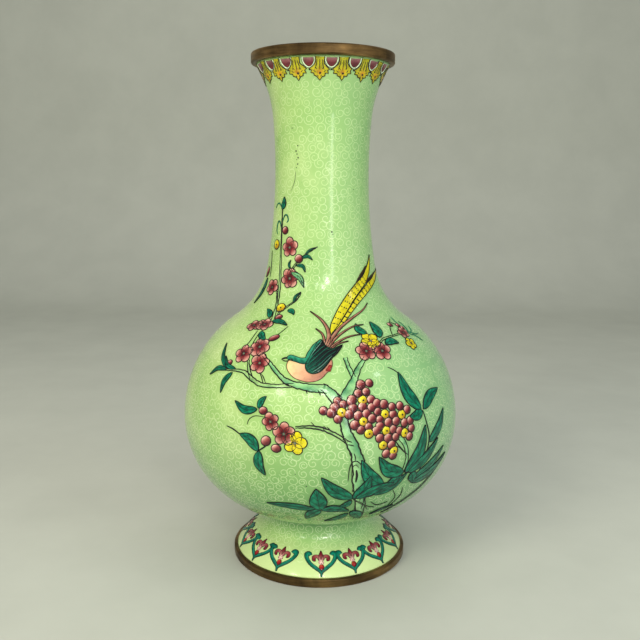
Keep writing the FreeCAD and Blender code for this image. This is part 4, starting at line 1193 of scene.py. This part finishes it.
# Clustered berries: (azimuth, height). Each next one lies a little higher, up to the twelfth.
RED_BERRIES = [
    (16.5, 126.5), (20.5, 127), (15, 122.5), (18.2, 123), (12, 119.5), (19.8, 119), (16.3, 115.8),
    (19.8, 115.2), (22.2, 117), (25, 116), (28.2, 114.2), (32.2, 114), (35.2, 111.5), (22.2, 112.8),
    (28.6, 110.4), (17.2, 112.3), (14, 111.5), (19.2, 109.6), (22.4, 108.6), (26, 106.6), (29.6, 106.6),
    (33, 105), (36, 105.6), (12.8, 107), (18.2, 105.6), (14.8, 104.4), (21.2, 103), (22.6, 105.4),
    (28, 102.6), (30.6, 101.2), (36.6, 101.4), (22, 99), (25.8, 98.4), (29, 98.4), (35.2, 97.2), (27, 94.5),
    (25, 90), (28, 88.5), (6.5, 119.2), (8.7, 117.5), (5.5, 116), (4, 113.5), (1, 114.6), (12, 115.6),
    (11, 112.5), (6.6, 110.4), (11.6, 118.6)]
YELLOW_BERRIES = [(16.5, 119), (25, 111), (32.4, 109.5), (16, 108.5), (18, 102), (25, 102.5), (33, 99.6),
                  (23.5, 95), (28, 91), (8, 113.5)]
for layer, (azimuth, height) in enumerate(RED_BERRIES):
    bead(azimuth + chance.uniform(-0.3, 0.3), height, 2.5 * chance.uniform(0.88, 1.08), "red", layer)
for layer, (azimuth, height) in enumerate(YELLOW_BERRIES):
    bead(azimuth, height, 2.6, "yellow", layer + 12)

# Wear: a broken hairline crack on the neck and dark pits; each is (azimuth, height, size).
for azimuth, height, size in (
        (-29.4, 252.1, 0.4), (-31.8, 249.2, 0.5), (-30.5, 247.5, 0.42), (-29.1, 245.5, 0.5),
        (-31, 244.4, 0.3), (-29.6, 242, 0.45), (-31.4, 240, 0.3), (-36.6, 261.8, 0.36), (-64, 255.7, 0.3),
        (11.3, 204.3, 0.5), (12.4, 203, 0.3), (40, 228, 0.3), (-5, 73, 0.4), (-9, 80, 0.3), (120, 150, 0.4),
        (200, 90, 0.4)):
    pit = Pen(BODY, azimuth, height)
    dot(pit, 0, 0, size, 6, 0.1, 0.03, 0.01)
wall_brush([(-32.7, 237.9), (-33.3, 233.4), (-35.9, 229.7), (-38.8, 226.7)], 0.3, (0.12, 0.16, 0.1), 0.03)


# ---------------------------------------------------------------------------
# The enamel ground and its scroll wires
# ---------------------------------------------------------------------------

def turned_coat(name, wall, rows, segments, node):
    """The outer coat as its own fine turned piece, with the enamel's thickness behind it."""
    outer = np.linspace(0, wall.length[-1], rows)
    radius = wall.radius_along(outer)
    height = np.interp(outer, wall.length, wall.height)
    inner = np.linspace(wall.length[-1], 0, rows // 3)
    out_r, out_z = np.interp(inner, wall.length, wall.normal_r), np.interp(inner, wall.length, wall.normal_z)
    in_radius = wall.radius_along(inner) - ENAMEL * out_r
    in_height = np.interp(inner, wall.length, wall.height) - ENAMEL * out_z
    section = np.concatenate([np.stack([radius, height], 1), np.stack([in_radius, in_height], 1)])
    return lathe(name, section, segments, GROUND, "ground_enamel", (node,))


turned_coat("body_ground_enamel", BODY, 210, 224, "body_enamel")
turned_coat("foot_ground_enamel", FOOT, 48, 192, "foot_enamel")

CELL_ACROSS = 0.5
GRID_STEP = 0.45


class Taken:
    """Marks where the picture already covers a wall, on a grid of azimuth and length."""

    def __init__(self, wall):
        self.wall = wall
        self.across = int(360 / CELL_ACROSS)
        self.along = int(wall.length[-1] / GRID_STEP) + 2
        self.grid = np.zeros((self.along, self.across), bool)

    def cell(self, azimuth, length):
        return (np.clip((length / GRID_STEP).astype(int), 0, self.along - 1),
                (np.degrees(azimuth) / CELL_ACROSS).astype(int) % self.across)

    def mark(self, points):
        height = points[:, 2] / MM
        near = (height >= self.wall.height[0] - 0.5) & (height <= self.wall.height[-1] + 0.5)
        spots = points[near]
        azimuth = np.arctan2(spots[:, 0], -spots[:, 1]) % (2 * math.pi)
        rows, columns = self.cell(azimuth, self.wall.along(spots[:, 2] / MM))
        for step_up in (-1, 0, 1):
            near_rows = np.clip(rows + step_up, 0, self.along - 1)
            for step_right in (-1, 0, 1):
                self.grid[near_rows, (columns + step_right) % self.across] = True

    def free(self, azimuth, length):
        rows, columns = self.cell(azimuth % (2 * math.pi), length)
        return ~self.grid[rows, columns]


MOTIFS = [lappets, half_rounds, hearts, palmettes, drops, stems, twigs, leaves, sprigs, reds, yellows,
          bud_cells, red_beads, yellow_beads, bird_coat, wing_cells, plume_cells, tail_cells, ink,
          pale_lines, hearts_of_flowers]
body_taken = Taken(BODY)
foot_taken = Taken(FOOT)
for motif in MOTIFS:
    cloud = np.concatenate(motif.points)
    body_taken.mark(cloud)
    foot_taken.mark(cloud)

SCROLL_PITCH = 5.5
SCROLL_WIDTH = 0.54
SCROLL_RISE = 0.025
SCROLL_SUNK = -0.01
SHORTEST_PIECE = 4
WIRE_SEED = 23
wires = random.Random(WIRE_SEED)


def spiral(radius, turns, start, hand):
    """A scroll that opens out from its middle and ends in a short tail."""
    count = int(turns * 13)
    u = np.linspace(0.12, 1, count)
    angle = start + hand * turns * 2 * math.pi * u
    reach = radius * u ** 0.72
    return np.stack([reach * np.cos(angle), reach * np.sin(angle)], -1)


def scroll_row(target, wall, taken, length, low, high):
    around = 2 * math.pi * float(wall.radius_along(length))
    count = int(around / SCROLL_PITCH)
    offset = wires.uniform(0, 2 * math.pi)
    for i in range(count):
        azimuth = offset + 2 * math.pi * (i + wires.uniform(-0.2, 0.2)) / count
        middle = length + wires.uniform(-0.9, 0.9)
        size = wires.uniform(2.5, 3.4)
        turns = wires.uniform(1.3, 1.9)
        path = spiral(size, turns, wires.uniform(0, 6.28), wires.choice((-1, 1)))
        along = middle + path[:, 1]
        azimuths = azimuth + path[:, 0] / wall.radius_along(along)
        good = taken.free(azimuths, along) & (along > low) & (along < high)
        pen = Pen(wall, 0, wall.height[0])
        pen.azimuth, pen.length = azimuth, middle
        ends = np.flatnonzero(np.diff(np.concatenate([[False], good, [False]]).astype(int)))
        for begin, end in zip(ends[::2], ends[1::2]):
            if end - begin >= SHORTEST_PIECE:
                piece = path[begin:end]
                stroke(target, pen, piece, tapered(len(piece), SCROLL_WIDTH, 0.6), (1, 1, 1), SCROLL_RISE,
                       section=WIRE_SECTION, sunk=SCROLL_SUNK)


def scroll_zone(name, wall, taken, low, high, top):
    """Rows of scrolls between two heights of the wall."""
    target = Cells(name, WIRE, "ground_enamel")
    start, stop = float(wall.along(low)), float(wall.along(high))
    ceiling = float(wall.along(top))
    length = start + 2.2
    while length < stop:
        scroll_row(target, wall, taken, length, SCROLL_PITCH / 10, ceiling)
        length += SCROLL_PITCH * 0.88
    target.build(smooth=False)


scroll_zone("scroll_wires_foot", FOOT, foot_taken, 11.5, 31.0, 31.4)
scroll_zone("scroll_wires_bowl", BODY, body_taken, 33.0, 84.0, 299.0)
scroll_zone("scroll_wires_belly", BODY, body_taken, 84.0, 132.0, 299.0)
scroll_zone("scroll_wires_shoulder", BODY, body_taken, 132.0, 196.0, 299.0)
scroll_zone("scroll_wires_neck", BODY, body_taken, 196.0, 288.0, 290.0)

for motif in MOTIFS:
    motif.build()

# ---------------------------------------------------------------------------
# Floor, light and camera
# ---------------------------------------------------------------------------

CAMERA_PLACE = (-0.0005, -0.4745, 0.2321)
CAMERA_PITCH = math.radians(9.99)
CAMERA_ROLL = math.radians(0.46)
LENS_MM = 44.05
SENSOR_MM = 36.0


def look_at(place, target):
    return (Vector(target) - Vector(place)).to_track_quat("-Z", "Y").to_euler()


def softbox(name, place, target, size, power, colour, mirrored=False):
    """A rectangular lamp; only a mirrored one shows as a glint in the glaze."""
    data = bpy.data.lights.new(name, "AREA")
    data.shape = "RECTANGLE"
    data.size, data.size_y = size
    data.energy = power
    data.color = colour
    lamp = bpy.data.objects.new(name, data)
    lamp.location = place
    lamp.rotation_euler = look_at(place, target)
    lamp.visible_glossy = mirrored
    bpy.context.scene.collection.objects.link(lamp)


MIDDLE = (0.0, 0.0, 0.15)
GLINT_DISTANCE = 1.6


def glint(name, azimuth, elevation, size, radiance):
    """A small bright window, seen as a highlight; its power follows from how bright its face is."""
    flat = GLINT_DISTANCE * math.cos(math.radians(elevation))
    place = (flat * math.sin(math.radians(azimuth)), -flat * math.cos(math.radians(azimuth)),
             MIDDLE[2] + GLINT_DISTANCE * math.sin(math.radians(elevation)))
    softbox(name, place, MIDDLE, size, radiance * math.pi * size[0] * size[1], (1.0, 0.98, 0.95), True)


def flat_material(name, tone, rough):
    look = Shader(name)
    grain = look.noise(14.0, 4.0, 0.6)
    low = tuple(value * 0.97 for value in tone)
    shade = look.ramp(grain, "Fac", [(0.35, low), (0.7, tone)])
    look.set(Roughness=rough)
    look.join(shade, "Color", look.bsdf, "Base Color")
    return look.material


FLOOR_HALF = 6.0
FLOOR_FRONT = -6.0
FLOOR_BACK = 0.9
BACKDROP_TOP = 1.8
CURVE = 0.35
CURVE_STEPS = 16


def sweep_floor():
    """A pale floor that curves up into a backdrop."""
    profile = [(FLOOR_FRONT, 0.0), (FLOOR_BACK, 0.0)]
    for i in range(1, CURVE_STEPS + 1):
        turn = math.pi / 2 * i / CURVE_STEPS
        profile.append((FLOOR_BACK + CURVE * math.sin(turn), CURVE * (1 - math.cos(turn))))
    profile.append((FLOOR_BACK + CURVE, BACKDROP_TOP))
    points = []
    for y, z in profile:
        points += [(-FLOOR_HALF, y, z), (FLOOR_HALF, y, z)]
    faces = [[2 * i, 2 * i + 1, 2 * i + 3, 2 * i + 2] for i in range(len(profile) - 1)]
    mesh = bpy.data.meshes.new("studio_floor")
    mesh.from_pydata(points, [], faces)
    mesh.polygons.foreach_set("use_smooth", [True] * len(mesh.polygons))
    mesh.materials.append(flat_material("studio_paper", (0.72, 0.73, 0.68), 0.85))
    floor = bpy.data.objects.new("studio_floor", mesh)
    bpy.context.scene.collection.objects.link(floor)


sweep_floor()
softbox("key_window", (-0.70, -0.85, 0.70), MIDDLE, (0.5, 0.5), 10.0, (1.0, 0.95, 0.84))
softbox("cool_fill", (0.80, -0.55, 0.50), MIDDLE, (0.6, 0.6), 3.6, (0.82, 0.93, 1.0))
softbox("front_fill", (0.05, -1.3, 0.60), MIDDLE, (0.3, 0.3), 4.5, (1.0, 0.98, 0.94))
softbox("top_wash", (0.0, 0.1, 1.3), MIDDLE, (1.2, 1.2), 6.0, (1.0, 0.99, 0.97))
glint("ceiling_glint_middle", 13, 26, (0.20, 0.26), 20.0)
glint("ceiling_glint_left", -36, 30, (0.22, 0.14), 11.0)
glint("ceiling_glint_small", -9, 31, (0.10, 0.12), 12.0)
glint("ceiling_glint_right", 32, 27, (0.10, 0.10), 12.0)
glint("ceiling_glint_side", 62, 40, (0.14, 0.10), 11.0)
glint("ceiling_glint_high", 4, 34, (0.16, 0.16), 16.0)
glint("tall_window", 23, 12, (0.16, 0.8), 6.0)

world = bpy.data.worlds.new("studio_air")
world.use_nodes = True
world.node_tree.nodes["Background"].inputs["Color"].default_value = (0.80, 0.83, 0.86, 1.0)
world.node_tree.nodes["Background"].inputs["Strength"].default_value = 0.32
bpy.context.scene.world = world
bpy.context.scene.view_settings.view_transform = "Standard"

camera_data = bpy.data.cameras.new("photo_angle")
camera_data.lens = LENS_MM
camera_data.sensor_width = SENSOR_MM
camera_data.clip_start = 0.01
camera = bpy.data.objects.new("photo_angle", camera_data)
camera.matrix_world = (Matrix.Translation(CAMERA_PLACE) @ Matrix.Rotation(math.pi / 2 - CAMERA_PITCH, 4, "X")
                       @ Matrix.Rotation(CAMERA_ROLL, 4, "Z"))
bpy.context.scene.collection.objects.link(camera)
bpy.context.scene.camera = camera
